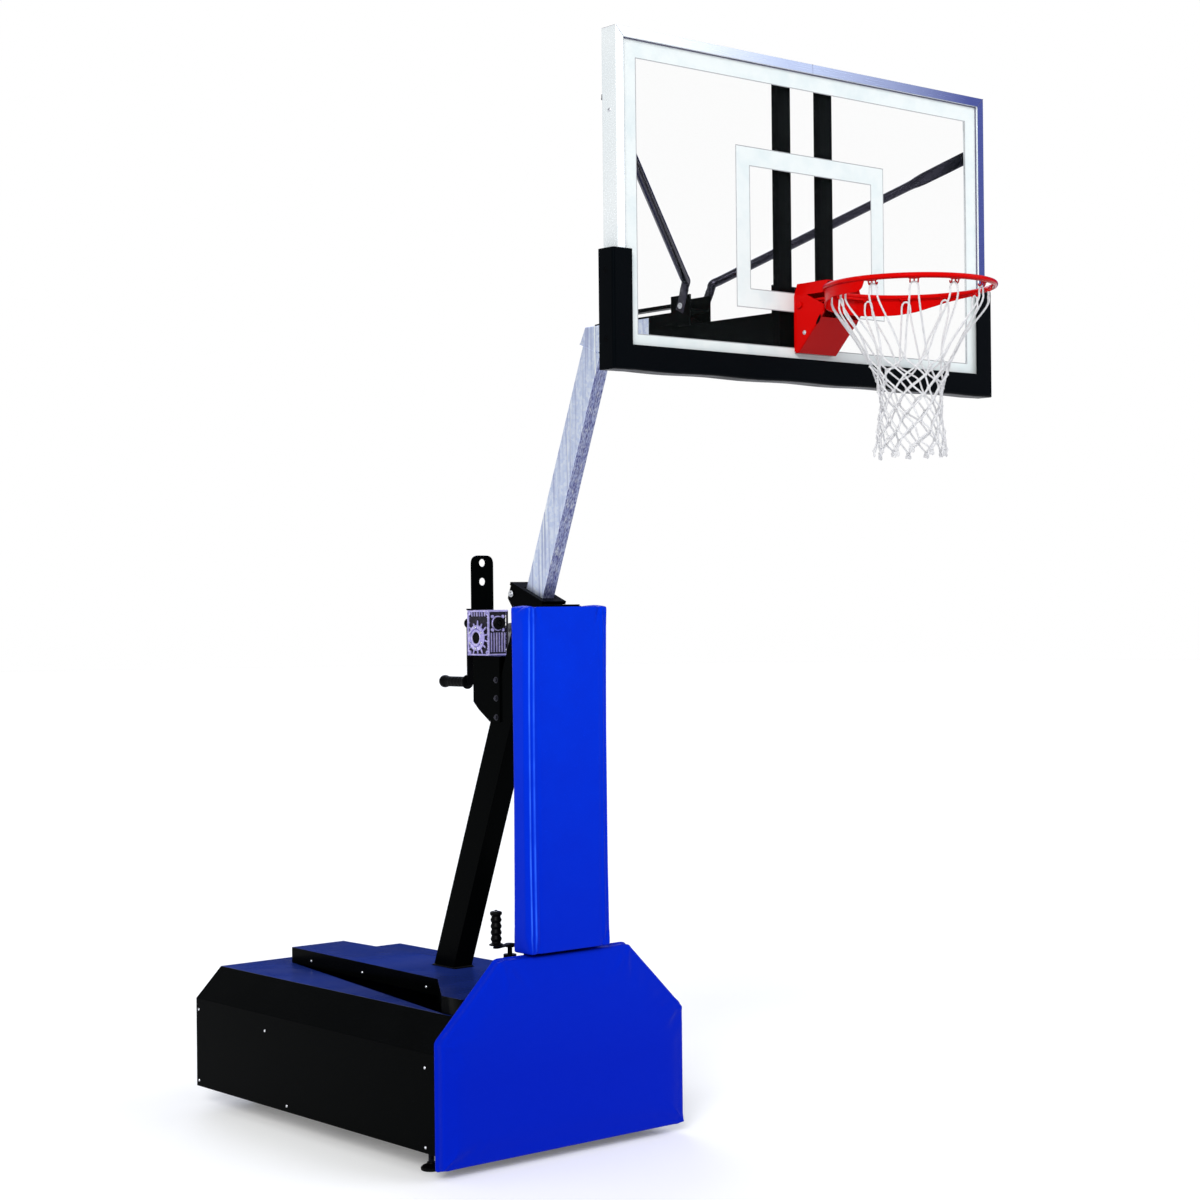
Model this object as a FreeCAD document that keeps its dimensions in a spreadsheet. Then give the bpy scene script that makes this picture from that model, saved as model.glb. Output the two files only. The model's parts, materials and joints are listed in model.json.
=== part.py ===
import FreeCAD, Part
import os
import re
import Sketcher
from FreeCAD import Placement, Rotation, Vector

# Portable basketball hoop: a ballasted base on wheels and a lifting jack, a leaning telescopic
# mast raised by a worm-gear winch, and a glass backboard with a breakaway rim.
# Frame: +Z up, the court side faces -Y, X = 0 is the plane of symmetry, the floor is Z = 0.

doc = FreeCAD.newDocument("portable_hoop")

DIMS = {
    # base
    "base_half": 512, "base_front": 175, "base_rear": 1659.5, "base_bottom": 76,
    "side_top": 398, "shoulder_half": 406, "deck_top": 504, "sheet": 3,
    "hump_top": 562, "hump_left": -171, "hump_right": 60, "flare_half": 400, "flare_y": 289,
    "hump_rear": 1542, "hump_front": 571, "panel_bottom": 150,
    "rail_half": 430, "rail_w": 40, "rail_bottom": 90, "rail_top": 170,
    "ballast_front": 375, "ballast_rear": 1530, "ballast_top": 370,
    # pads on the front of the base and the column
    "pad_half": 523, "pad_bottom": 25, "pad_shoulder": 444, "pad_top": 684.5, "pad_top_half": 277,
    "pad_thick": 50,
    "column_half": 171, "column_front": 105, "column_rear": 202, "column_bottom": 687,
    "column_top": 1827.5, "channel_half": 118, "channel_front": 179, "channel_depth": 35,
    # leaning mast
    "mast_lean": 21.4, "mast_foot": 986.4, "outer_w": 80, "outer_deep": 108, "outer_wall": 4,
    "outer_low": 207, "outer_top": 2000, "inner_w": 50, "inner_deep": 92, "inner_wall": 4,
    "inner_low": 1290, "inner_top": 2857, "collar_top": 2011,
    # winch
    "cheek_in": 40.3, "cheek": 6, "gear_half": 43.5, "gear_front": 484, "gear_rear": 604,
    "gear_low": 1659, "gear_high": 1816, "wheel_y": 548, "wheel_z": 1720, "worm_z": 1770,
    "crank_reach": 205, "crank_y": 643, "grip_len": 150,
    # jack and wheels
    "jack_x": -85, "jack_y": 329, "jack_r": 22, "jack_high": 660, "jack_reach": 85, "jack_aim": 200,
    "tyre_r": 55, "tyre_w": 40, "tyre_x": 262, "tyre_y": 1590, "jack_tyre_r": 40,
    "foot_x": 440, "foot_y": 300,
    # arm, boom and backboard
    "arm_top": 2735, "arm_low": 2648, "arm_end": -352, "boom_half": 38,
    "board_y": -1035, "board_half": 762, "board_top": 3408, "board_low": 2494,
    "face": 28, "frame_proud": 10, "frame_deep": 60, "glass_thick": 12, "glass_bite": 10,
    "upright_in": 61, "upright_out": 113, "upright_deep": 26,
    "edge_half": 785, "edge_inner": 715, "edge_low": 2481, "edge_inner_z": 2542,
    "edge_top": 2804, "edge_front": -1052, "edge_rear": -985,
    "brace_r": 14,
    # rim
    "ring_y": -1415, "ring_z": 2715, "ring_r": 228.5, "ring_rod": 8, "bracket_half": 78,
    "hinge_y": -1060, "hinge_z": 2695, "net_low": 2232, "net_wall": 4,
}

sheet = doc.addObject("Spreadsheet::Sheet", "Dims")
for row, (alias, value) in enumerate(DIMS.items(), start=1):
    sheet.set(f"A{row}", alias)
    sheet.set(f"B{row}", str(value))
    sheet.setAlias(f"B{row}", alias)
doc.recompute()

WORD = re.compile(r"[A-Za-z_]+")
ROPE_R = 1.5
NODES = []


# ---------------------------------------------------------------- helpers

def formula(text):
    """Turn a formula in alias words into one that points at the spreadsheet."""
    return WORD.sub(lambda m: "Dims." + m.group(0) if m.group(0) in DIMS else m.group(0), str(text))


def number(text):
    """Value of a formula, for the first guess of a sketch."""
    return float(sheet.evalExpression(formula(text)))


def bind(obj, prop, text):
    obj.setExpression(prop, formula(text))


def place(obj, x=0, y=0, z=0, rotation=None):
    obj.Placement = Placement(Vector(0, 0, 0), rotation or Rotation())
    for axis, text in zip("xyz", (x, y, z)):
        bind(obj, "Placement.Base." + axis, text)
    return obj


def lean(obj, x=0, across=0, along=0):
    """Stand an object built about its own Z axis on the leaning mast's axis."""
    obj.Placement = Placement(Vector(0, 0, 0), Rotation(Vector(1, 0, 0), 1))
    bind(obj, "Placement.Rotation.Angle", "mast_lean")
    bind(obj, "Placement.Base.x", x)
    bind(obj, "Placement.Base.y",
         f"mast_foot - ({along}) * sin(mast_lean) + ({across}) * cos(mast_lean)")
    bind(obj, "Placement.Base.z", f"({along}) * cos(mast_lean) + ({across}) * sin(mast_lean)")
    return obj


def block(name, x0, x1, y0, y1, z0, z1):
    box = doc.addObject("Part::Box", name)
    for prop, low, high in (("Length", x0, x1), ("Width", y0, y1), ("Height", z0, z1)):
        bind(box, prop, f"({high}) - ({low})")
    return place(box, x0, y0, z0)


TURN = {"x": Rotation(Vector(0, 1, 0), 90), "y": Rotation(Vector(1, 0, 0), -90), "z": Rotation()}


def rod(name, axis, radius, length, x=0, y=0, z=0):
    """A round bar from (x, y, z) along +axis."""
    bar = doc.addObject("Part::Cylinder", name)
    bind(bar, "Radius", radius)
    bind(bar, "Height", length)
    return place(bar, x, y, z, TURN[axis])


def fuse(name, *parts):
    joined = doc.addObject("Part::MultiFuse", name)
    joined.Shapes = list(parts)
    return joined


def group(name, *parts):
    """Separate solids that share one node."""
    together = doc.addObject("Part::Compound", name)
    together.Links = list(parts)
    return together


def cut(name, base, *tools):
    result = doc.addObject("Part::Cut", name)
    result.Base = base
    result.Tool = tools[0] if len(tools) == 1 else fuse(name + "_tools", *tools)
    return result


def copy_mirrored(name, source):
    """The same piece on the other side of X = 0."""
    twin = doc.addObject("Part::Mirroring", name)
    twin.Source = source
    twin.Normal = Vector(1, 0, 0)
    return twin


def outline_sketch(body, name, plane, points, offset, holes=()):
    sketch = body.newObject("Sketcher::SketchObject", name)
    origin = [f for f in body.Origin.OriginFeatures if f.Role == plane][0]
    sketch.AttachmentSupport = [(origin, "")]
    sketch.MapMode = "FlatFace"
    bind(sketch, "AttachmentOffset.Base.z", offset)
    values = [Vector(number(u), number(v), 0) for u, v in points]
    count = len(values)
    for i in range(count):
        sketch.addGeometry(Part.LineSegment(values[i], values[(i + 1) % count]), False)
    for i in range(count):
        sketch.addConstraint(Sketcher.Constraint("Coincident", i, 2, (i + 1) % count, 1))
    for i, (u, v) in enumerate(points):
        for kind, text, value in (("DistanceX", u, values[i].x), ("DistanceY", v, values[i].y)):
            index = sketch.addConstraint(Sketcher.Constraint(kind, -1, 1, i, 1, value))
            bind(sketch, f"Constraints[{index}]", text)
    for u, v, radius in holes:
        centre = Vector(number(u), number(v), 0)
        edge = sketch.addGeometry(Part.Circle(centre, Vector(0, 0, 1), number(radius)), False)
        index = sketch.addConstraint(Sketcher.Constraint("Radius", edge, number(radius)))
        bind(sketch, f"Constraints[{index}]", radius)
        for kind, text, value in (("DistanceX", u, centre.x), ("DistanceY", v, centre.y)):
            index = sketch.addConstraint(Sketcher.Constraint(kind, -1, 1, edge, 3, value))
            bind(sketch, f"Constraints[{index}]", text)
    return sketch


def plate(name, plane, points, start, depth, holes=()):
    """A padded outline. yz plates grow towards +X, xy plates towards +Z, xz plates towards -Y."""
    body = doc.addObject("PartDesign::Body", name)
    offset = f"-({start})" if plane == "XZ_Plane" else start
    sketch = outline_sketch(body, name + "_outline", plane, points, offset, holes)
    pad = body.newObject("PartDesign::Pad", name + "_pad")
    pad.Profile = sketch
    bind(pad, "Length", depth)
    return body


def turned(name, points):
    """A piece turned about Z from an outline of (radius, height) points."""
    body = doc.addObject("PartDesign::Body", name)
    sketch = outline_sketch(body, name + "_outline", "XZ_Plane", points, "0")
    turn = body.newObject("PartDesign::Revolution", name + "_turn")
    turn.Profile = sketch
    turn.ReferenceAxis = (sketch, ["V_Axis"])
    turn.Angle = 360
    return body


def node(name, obj):
    obj.Label = name
    NODES.append((name, obj))
    return obj


def solid(name, shape):
    """A piece whose shape is made from curves, which primitives can't give."""
    feature = doc.addObject("Part::Feature", name)
    feature.Shape = shape
    return feature


# ---------------------------------------------------------------- base frame and ballast

def base_frame():
    left = block("rail_l", "-rail_half - rail_w", "-rail_half", 245, 1640, "rail_bottom", "rail_top")
    right = block("rail_r", "rail_half", "rail_half + rail_w", 245, 1640, "rail_bottom", "rail_top")
    beams = [left, right]
    for index, (y0, y1, low) in enumerate(((245, 283, "rail_bottom"), (850, 975, "rail_bottom"),
                                           (1560, 1620, 122))):
        beams.append(block(f"cross_{index}", "-rail_half", "rail_half", y0, y1, low, "rail_top"))
    # hangers carry the rear wheel axles, gussets hold the mast foot
    for index, x in enumerate((-308, -224, 216, 300)):
        hanger = block(f"hanger_{index}", x, x + 8, 1570, 1610, 34, 123)
        bore = rod(f"hanger_bore_{index}", "x", 8.3, 12, x - 2, "tyre_y", "tyre_r")
        beams.append(cut(f"hanger_bored_{index}", hanger, bore))
    gusset = (("970", "rail_top - 1"), ("855", "rail_top - 1"), ("775", 330), ("868", 366))
    for index, x in enumerate(("-outer_w / 2 - 6.3", "outer_w / 2 + 0.3")):
        beams.append(plate(f"gusset_{index}", "YZ_Plane", gusset, x, 6))
    node("base_frame", fuse("base_frame", *beams))


def ballast_blocks():
    blocks = []
    for index, (x0, x1) in enumerate(((-424, -70), (70, 424))):
        blocks.append(block(f"ballast_{index}", x0, x1, "ballast_front", "ballast_rear",
                            "rail_top", "ballast_top"))
    node("ballast_blocks", group("ballast_blocks", *blocks))


# ---------------------------------------------------------------- covers of the base

def side_cover(name, side, deck_edge):
    """One bent sheet: wall, sloped shoulder and deck."""
    outer = ((f"{side} * base_half", "base_bottom"), (f"{side} * base_half", "side_top"),
             (f"{side} * shoulder_half", "deck_top"), (deck_edge, "deck_top"),
             (deck_edge, "deck_top - sheet"),
             (f"{side} * (shoulder_half - sheet * 0.41)", "deck_top - sheet"),
             (f"{side} * (base_half - sheet)", "side_top - sheet * 0.41"),
             (f"{side} * (base_half - sheet)", "base_bottom"))
    node(name, plate(name, "XZ_Plane", outer, "base_rear - sheet",
                     "base_rear - sheet - base_front - 4"))


def centre_cover():
    """Raised cover along the middle of the deck, flared where it meets the front panel."""
    plan = (("hump_left", "hump_rear"), (-210, "hump_front"), ("-flare_half", "flare_y"),
            ("-flare_half", "base_front + 4"), ("flare_half", "base_front + 4"),
            ("flare_half", "flare_y"), (100, "hump_front"), ("hump_right", "hump_rear"))
    inside = (("hump_left + sheet", "hump_rear - sheet"), ("-210 + sheet", "hump_front + 1"),
              ("-flare_half + sheet", "flare_y + 1"), ("-flare_half + sheet", "base_front + 7"),
              ("flare_half - sheet", "base_front + 7"), ("flare_half - sheet", "flare_y + 1"),
              ("100 - sheet", "hump_front + 1"), ("hump_right - sheet", "hump_rear - sheet"))
    shell = plate("hump_shell", "XY_Plane", plan, "deck_top", "hump_top - deck_top")
    hollow = plate("hump_hollow", "XY_Plane", inside, "deck_top - 5", "hump_top - deck_top + 2")
    mast_slot = block("mast_slot", "-outer_w / 2 - 4", "outer_w / 2 + 4", 694, 838, 540, 580)
    jack_hole = rod("jack_hole", "z", "jack_r + 3", 60, "jack_x", "jack_y", 530)
    node("centre_cover", cut("centre_cover", shell, hollow, mast_slot, jack_hole))


def end_panels():
    rear = (("-base_half", "base_bottom"), ("base_half", "base_bottom"), ("base_half", "side_top"),
            ("shoulder_half", "deck_top"), ("-shoulder_half", "deck_top"), ("-base_half", "side_top"))
    wall = plate("rear_wall", "XZ_Plane", rear, "base_rear", "sheet")
    ledge = block("deck_ledge", -150, 45, "hump_rear - 12", "base_rear - sheet", "deck_top - sheet",
                  "deck_top")
    node("rear_panel", fuse("rear_panel", wall, ledge))
    front = ((-505, "panel_bottom"), (505, "panel_bottom"), (505, 434), (268, 672), (-268, 672),
             (-505, 434))
    node("front_panel", plate("front_panel", "XZ_Plane", front, "base_front + 4", 4))


def cover_screws():
    """Button-head screws that hold the sheets."""
    heads = []
    spots = [(side, y, z) for side in (-1, 1)
             for y, z in ((1642, 358), (1642, 98), (1190, 340), (1052, 97), (232, 351), (232, 95))]
    for index, (side, y, z) in enumerate(spots):
        x = "base_half" if side > 0 else "-base_half - 2.5"
        heads.append(rod(f"side_screw_{index}", "x", 6, 2.5, x, y, z))
    for index, (x, z) in enumerate(((-480, 110), (480, 110), (-480, 380), (480, 380), (0, 110),
                                    (-390, 488), (390, 488))):
        heads.append(rod(f"rear_screw_{index}", "y", 6, 2.5, x, "base_rear - sheet - 2.6", z))
    hump_edge = "(hump_left - ({y} - hump_rear) * (hump_left + 210) / (hump_front - hump_rear)) - 3.1"
    for index, y in enumerate((1400, 1050, 640)):
        heads.append(rod(f"hump_screw_{index}", "x", 6, 2.5, hump_edge.format(y=y), y, 526))
    node("cover_screws", group("cover_screws", *heads))


# ---------------------------------------------------------------- pads and column

def base_pad():
    front = (("-pad_half", "pad_bottom"), ("pad_half", "pad_bottom"), ("pad_half", "pad_shoulder"),
             ("pad_top_half", "pad_top"), ("-pad_top_half", "pad_top"), ("-pad_half", "pad_shoulder"))
    node("base_pad", plate("base_pad", "XZ_Plane", front, "base_front", "pad_thick"))


def column():
    """A steel channel stands behind the front panel and carries the column pad."""
    plan = (("-column_half", "column_rear"), ("-column_half", "column_front"),
            ("column_half", "column_front"), ("column_half", "column_rear"),
            ("channel_half + 6", "column_rear"), ("channel_half + 6", "channel_front"),
            ("-channel_half - 6", "channel_front"), ("-channel_half - 6", "column_rear"))
    node("column_pad", plate("column_pad", "XY_Plane", plan, "column_bottom",
                             "column_top - column_bottom"))
    u_shape = (("-channel_half", "channel_front"), ("channel_half", "channel_front"),
               ("channel_half", "channel_front + channel_depth"),
               ("channel_half - 5", "channel_front + channel_depth"),
               ("channel_half - 5", "channel_front + 5"), ("-channel_half + 5", "channel_front + 5"),
               ("-channel_half + 5", "channel_front + channel_depth"),
               ("-channel_half", "channel_front + channel_depth"))
    channel = plate("channel", "XY_Plane", u_shape, "hump_top + 1", "column_top - hump_top - 1")
    cap = block("channel_cap", -56, 56, "column_front + 8", 189, "column_top", "column_top + 5")
    node("column_channel", fuse("column_channel", channel, cap))


# ---------------------------------------------------------------- mast

def square_tube(name, w, deep, wall, low, top):
    outer = block(name + "_out", f"-{w} / 2", f"{w} / 2", f"-{deep} / 2", f"{deep} / 2", low, top)
    inner = block(name + "_in", f"-{w} / 2 + {wall}", f"{w} / 2 - {wall}", f"-{deep} / 2 + {wall}",
                  f"{deep} / 2 - {wall}", f"{low} - 10", f"{top} + 10")
    return cut(name, outer, inner)


def outer_mast():
    tube = square_tube("mast_tube", "outer_w", "outer_deep", "outer_wall", "outer_low", "outer_top")
    rope_slot = block("rope_slot", 19, 27, 48, 60, 1780, "outer_top + 5")
    node("mast_outer", lean(cut("mast_outer", tube, rope_slot)))


def mast_collar():
    """Head plate and two ears that carry the sheave behind the mast."""
    head = block("collar_head", -51, 51, -80, 104, "outer_top", "collar_top")
    window = block("collar_window", -30, 30, -52, 56, "outer_top - 5", "collar_top + 5")
    ear = ((-60, 1925), (60, 1925), (104, 1952), (104, "outer_top"), (-72, "outer_top"), (-72, 1950))
    ears = []
    for index, x in enumerate(("-outer_w / 2 - 6.3", "outer_w / 2 + 0.3")):
        ears.append(plate(f"ear_{index}", "YZ_Plane", ear, x, 6, [(87, 1975, 7.2)]))
    window_rear = block("sheave_window", 12, 34, 56, 100, "outer_top - 5", "collar_top + 5")
    node("mast_collar", lean(cut("mast_collar", fuse("collar_all", head, *ears),
                                 window, window_rear)))


def mast_guides():
    """Nylon pads inside the head of the outer mast."""
    pads = [block("guide_front", -20, 20, -50, -46.6, 1880, 1990),
            block("guide_rear", -24, 10, 46.6, 50, 1880, 1990)]
    for index, x in enumerate((-36, 25.6)):
        pads.append(block(f"guide_side_{index}", x, x + 10.4, -30, 30, 1880, 1990))
    node("mast_guides", lean(group("mast_guides", *pads)))


def upper_mast():
    """Galvanised inner tube with a short level arm welded on its top."""
    tube = lean(square_tube("inner_tube", "inner_w", "inner_deep", "inner_wall", "inner_low",
                            "inner_top"))
    side = ((2, 2683), (-25, "arm_top"), ("arm_end + 14", "arm_top"), ("arm_end", "arm_top - 14"),
            ("arm_end", "arm_low + 4"), (-84, "arm_low"))
    arm = plate("mast_arm", "YZ_Plane", side, "-inner_w / 2", "inner_w")
    node("upper_mast", fuse("upper_mast", tube, arm))


def foot_guide():
    """Slider at the foot of the inner mast, with the rope anchor."""
    shoe = block("shoe", -35.6, 35.6, -49.6, 49.6, "inner_low - 60", "inner_low")
    node("slider_shoe", lean(group("slider_shoe", shoe)))


# ---------------------------------------------------------------- winch

def winch_bracket():
    side = ((422, 1657), (569, 1657), (569, 1500), (538, 1473), (478, 1434), (422, 1434))
    bolts = [(440, 1577, 6.3), (440, 1515, 6.3), (440, 1450, 6.3)]
    for name, x in (("winch_cheek_left", "-cheek_in - cheek"), ("winch_cheek_right", "cheek_in")):
        node(name, plate(name, "YZ_Plane", side, x, "cheek", bolts))
    seat = block("seat", -46.3, 46.3, 430, 604, 1657, "gear_low")
    web = block("seat_web", -40, 40, 563, 569, 1505, 1657)
    node("winch_seat", fuse("winch_seat", seat, web))


def winch_plate():
    """Upright plate with two holes that stands on the gearbox."""
    upright = (("-47", "gear_high"), ("47", "gear_high"), (47, 1984), (41, 1998), (27, 2004),
               (-27, 2004), (-41, 1998), (-47, 1984))
    tall = plate("tall_plate", "XZ_Plane", upright, 576, 5, [(0, 1979, 14.2), (0, 1914, 14.2)])
    foot = block("plate_foot", -47, 47, 576, "gear_rear", "gear_high", "gear_high + 5")
    node("winch_plate", fuse("winch_plate", tall, foot))


def gearbox():
    case = block("case", "-gear_half", "gear_half", "gear_front", "gear_rear", "gear_low", "gear_high")
    wheel_room = rod("wheel_room", "x", 41, 60, -30, "wheel_y", "wheel_z")
    shaft_bore = rod("shaft_bore", "x", 16, 100, -50, "wheel_y", "wheel_z")
    worm_room = rod("worm_room", "y", 16, 96, 0, 496, "worm_z")
    worm_bore = rod("worm_bore", "y", 9, 120, 0, 540, "worm_z")
    grooves = []
    for index in range(4):
        x = -24 + 16 * index
        grooves.append(block(f"rib_gap_{index}", x - 4, x + 4, "gear_front - 1", "gear_front + 5",
                             "gear_low + 12", "worm_z - 26"))
    node("gearbox_housing", cut("gearbox_housing", case, wheel_room, shaft_bore, worm_room,
                                worm_bore, *grooves))
    flanges = []
    for index, x in enumerate(("-gear_half - 6", "gear_half")):
        disc = rod(f"cover_disc_{index}", "x", 44, 6, x, "wheel_y", "wheel_z")
        hole = rod(f"cover_hole_{index}", "x", 13, 12, f"{x} - 3", "wheel_y", "wheel_z")
        flanges.append(cut(f"side_cover_ring_{index}", disc, hole))
    flanges.append(rod("worm_cap", "y", 17, 5, 0, "gear_front - 5", "worm_z"))
    node("gearbox_covers", group("gearbox_covers", *flanges))


def worm_shaft():
    shaft = rod("worm_core", "y", 8.5, 160, 0, 497, "worm_z")
    threads = [rod(f"worm_thread_{i}", "y", 12, 3, 0, 520 + 6.3 * i, "worm_z") for i in range(9)]
    node("worm_shaft", fuse("worm_shaft", shaft, *threads))


def worm_wheel():
    """Bronze wheel; its rim is cut by thirty teeth."""
    disc = rod("wheel_disc", "x", 37, 28, -14, "wheel_y", "wheel_z")
    bore = rod("wheel_bore", "x", 12.7, 40, -20, "wheel_y", "wheel_z")
    gaps = []
    for index in range(30):
        gap = rod(f"tooth_gap_{index}", "x", 1.9, 30, -15, f"wheel_y + 37 * cos({index * 12})",
                  f"wheel_z + 37 * sin({index * 12})")
        gaps.append(gap)
    node("worm_wheel", cut("worm_wheel", disc, bore, *gaps))


def hoist_drum():
    shaft = rod("drum_shaft", "x", 12.5, 160, -47, "wheel_y", "wheel_z")
    parts = [shaft, rod("drum_core", "x", 30, 48, 56, "wheel_y", "wheel_z")]
    for index, x in enumerate((54, 104)):
        parts.append(rod(f"drum_flange_{index}", "x", 50, 5, x, "wheel_y", "wheel_z"))
    recess = rod("shaft_recess", "x", 8, 30, -50, "wheel_y", "wheel_z")
    node("hoist_drum", cut("hoist_drum", fuse("drum_all", *parts), recess))


def hoist_crank():
    """Arm on the worm shaft, with a plain pin for the grip."""
    hub = rod("crank_hub", "y", 17, 22, 0, "crank_y - 8", "worm_z")
    bore = rod("crank_bore", "y", 8.6, 40, 0, "crank_y - 20", "worm_z")
    arm = block("crank_bar", -11.5, 11.5, "crank_y", "crank_y + 8", "worm_z - crank_reach",
                "worm_z")
    end = rod("crank_end", "y", 11.5, 8, 0, "crank_y", "worm_z - crank_reach")
    pin = rod("crank_pin", "y", 5, "grip_len + 18", 0, "crank_y", "worm_z - crank_reach")
    node("crank_arm", cut("crank_arm", fuse("crank_all", hub, arm, end, pin), bore))
    grip = turned("crank_grip", ((5.4, 0), (21, 0), (25, 4), (25, 8), (18, 14), (17, 30),
                                 (17, "grip_len - 24"), (21, "grip_len - 18"), (22, "grip_len - 9"),
                                 (18, "grip_len"), (5.4, "grip_len")))
    node("crank_grip", place(grip, 0, "crank_y + 14", "worm_z - crank_reach", TURN["y"]))


def sheave():
    wheel = turned("sheave", ((7.4, -6), (24, -6), (24, -4), (19.5, -2), (19.5, 2), (24, 4), (24, 6),
                              (7.4, 6)))
    # the sheave turns on the collar's axle, 87 mm behind the mast axis
    place(wheel, 23, "mast_foot - 1975 * sin(mast_lean) + 87 * cos(mast_lean)",
          "1975 * cos(mast_lean) + 87 * sin(mast_lean)", TURN["x"])
    node("sheave", wheel)


def hoist_rope():
    """Rope from the drum over the sheave and down behind the inner mast."""
    lean_angle = number("mast_lean")
    axis = Rotation(Vector(1, 0, 0), lean_angle)
    foot = Vector(0, number("mast_foot"), 0)
    centre = foot + axis.multVec(Vector(23, 87, 1975))
    radius = 20.4 + ROPE_R
    drum_end = Vector(66, number("wheel_y") - 30.3 - ROPE_R, number("wheel_z") + 8)
    down = axis.multVec(Vector(0, 0, -1))
    to_mast = axis.multVec(Vector(0, -1, 0))
    front = centre + to_mast * radius
    rear_way = (Vector(centre.x, drum_end.y, drum_end.z) - centre).normalize()
    side_way = rear_way.cross(Vector(1, 0, 0)).normalize()
    if side_way.y < 0:
        side_way = side_way * -1
    rear = centre + side_way * radius
    bend_end = foot + axis.multVec(Vector(23, 48, 1795))
    anchor = foot + axis.multVec(Vector(23, 48, number("inner_low") + 0.5))
    top = centre + (to_mast + side_way).normalize() * radius
    over = Part.Arc(rear, top, front).toShape()
    runs = [Part.LineSegment(drum_end, rear).toShape(), over,
            Part.LineSegment(front, bend_end).toShape(),
            Part.LineSegment(bend_end, anchor).toShape()]
    pieces = []
    for index, run in enumerate(runs):
        wire = Part.Wire([run])
        start = wire.Edges[0]
        first = start.valueAt(start.FirstParameter)
        tangent = start.tangentAt(start.FirstParameter)
        section = Part.Wire([Part.makeCircle(ROPE_R, first, tangent)])
        pieces.append(wire.makePipeShell([section], True, False))
    joined = pieces[0].fuse(pieces[1:])
    node("hoist_rope", solid("hoist_rope", joined.Solids[0] if len(joined.Solids) == 1 else joined))


def machine_bolts():
    """Cheek bolts, the sheave axle and the gearbox screws."""
    parts = []
    for index, z in enumerate((1577, 1515, 1450)):
        for side, x, head in ((-1, "-cheek_in - cheek", "-cheek_in - cheek - 8"),
                              (1, "cheek_in", "cheek_in + cheek")):
            tag = f"{index}_{side + 1}"
            shank = rod("bolt_shank_" + tag, "x", 6, "cheek", x, 440, z)
            cap = rod("bolt_head_" + tag, "x", 9.5, 8, head, 440, z)
            parts.append(fuse("cheek_bolt_" + tag, shank, cap))
    axle_y = "mast_foot - 1975 * sin(mast_lean) + 87 * cos(mast_lean)"
    axle_z = "1975 * cos(mast_lean) + 87 * sin(mast_lean)"
    parts.append(fuse("sheave_axle", rod("axle_bar", "x", 7, 116, -58, axle_y, axle_z),
                      rod("axle_head", "x", 11, 9, -58, axle_y, axle_z),
                      rod("axle_nut", "x", 11, 9, 49, axle_y, axle_z)))
    for index in range(6):
        for side, x in ((-1, "-gear_half - 9"), (1, "gear_half + 6")):
            angle = 30 + 60 * index
            parts.append(rod(f"cover_bolt_{index}_{side + 1}", "x", 5, 3, x,
                             f"wheel_y + 36 * cos({angle})", f"wheel_z + 36 * sin({angle})"))
    node("machine_bolts", group("machine_bolts", *parts))


# ---------------------------------------------------------------- wheels, feet and jack

def rear_wheels():
    profile = ((8.3, "-tyre_w / 2"), (22, "-tyre_w / 2"), (24, "-tyre_w / 2 + 5"),
               ("tyre_r - 14", "-tyre_w / 2 + 5"), ("tyre_r - 10", "-tyre_w / 2 + 1"),
               ("tyre_r", "-tyre_w / 2 + 7"), ("tyre_r", "tyre_w / 2 - 7"),
               ("tyre_r - 10", "tyre_w / 2 - 1"), ("tyre_r - 14", "tyre_w / 2 - 5"),
               (24, "tyre_w / 2 - 5"), (22, "tyre_w / 2"), (8.3, "tyre_w / 2"))
    axles = []
    for name, x in (("rear_wheel_left", "-tyre_x"), ("rear_wheel_right", "tyre_x")):
        node(name, place(turned(name, profile), x, "tyre_y", "tyre_r", TURN["x"]))
        axles.append(rod(name + "_axle", "x", 8, 96, f"{x} - 48", "tyre_y", "tyre_r"))
    node("wheel_axles", group("wheel_axles", *axles))


def levelling_feet():
    feet = []
    for index, side in enumerate((-1, 1)):
        disc = rod(f"foot_disc_{index}", "z", 34, 20, f"{side} * foot_x", "foot_y", 0)
        stem = rod(f"foot_stem_{index}", "z", 10, "rail_bottom - 10", f"{side} * foot_x", "foot_y", 10)
        feet.append(fuse(f"foot_{index}", disc, stem))
    node("levelling_feet", group("levelling_feet", *feet))


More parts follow.
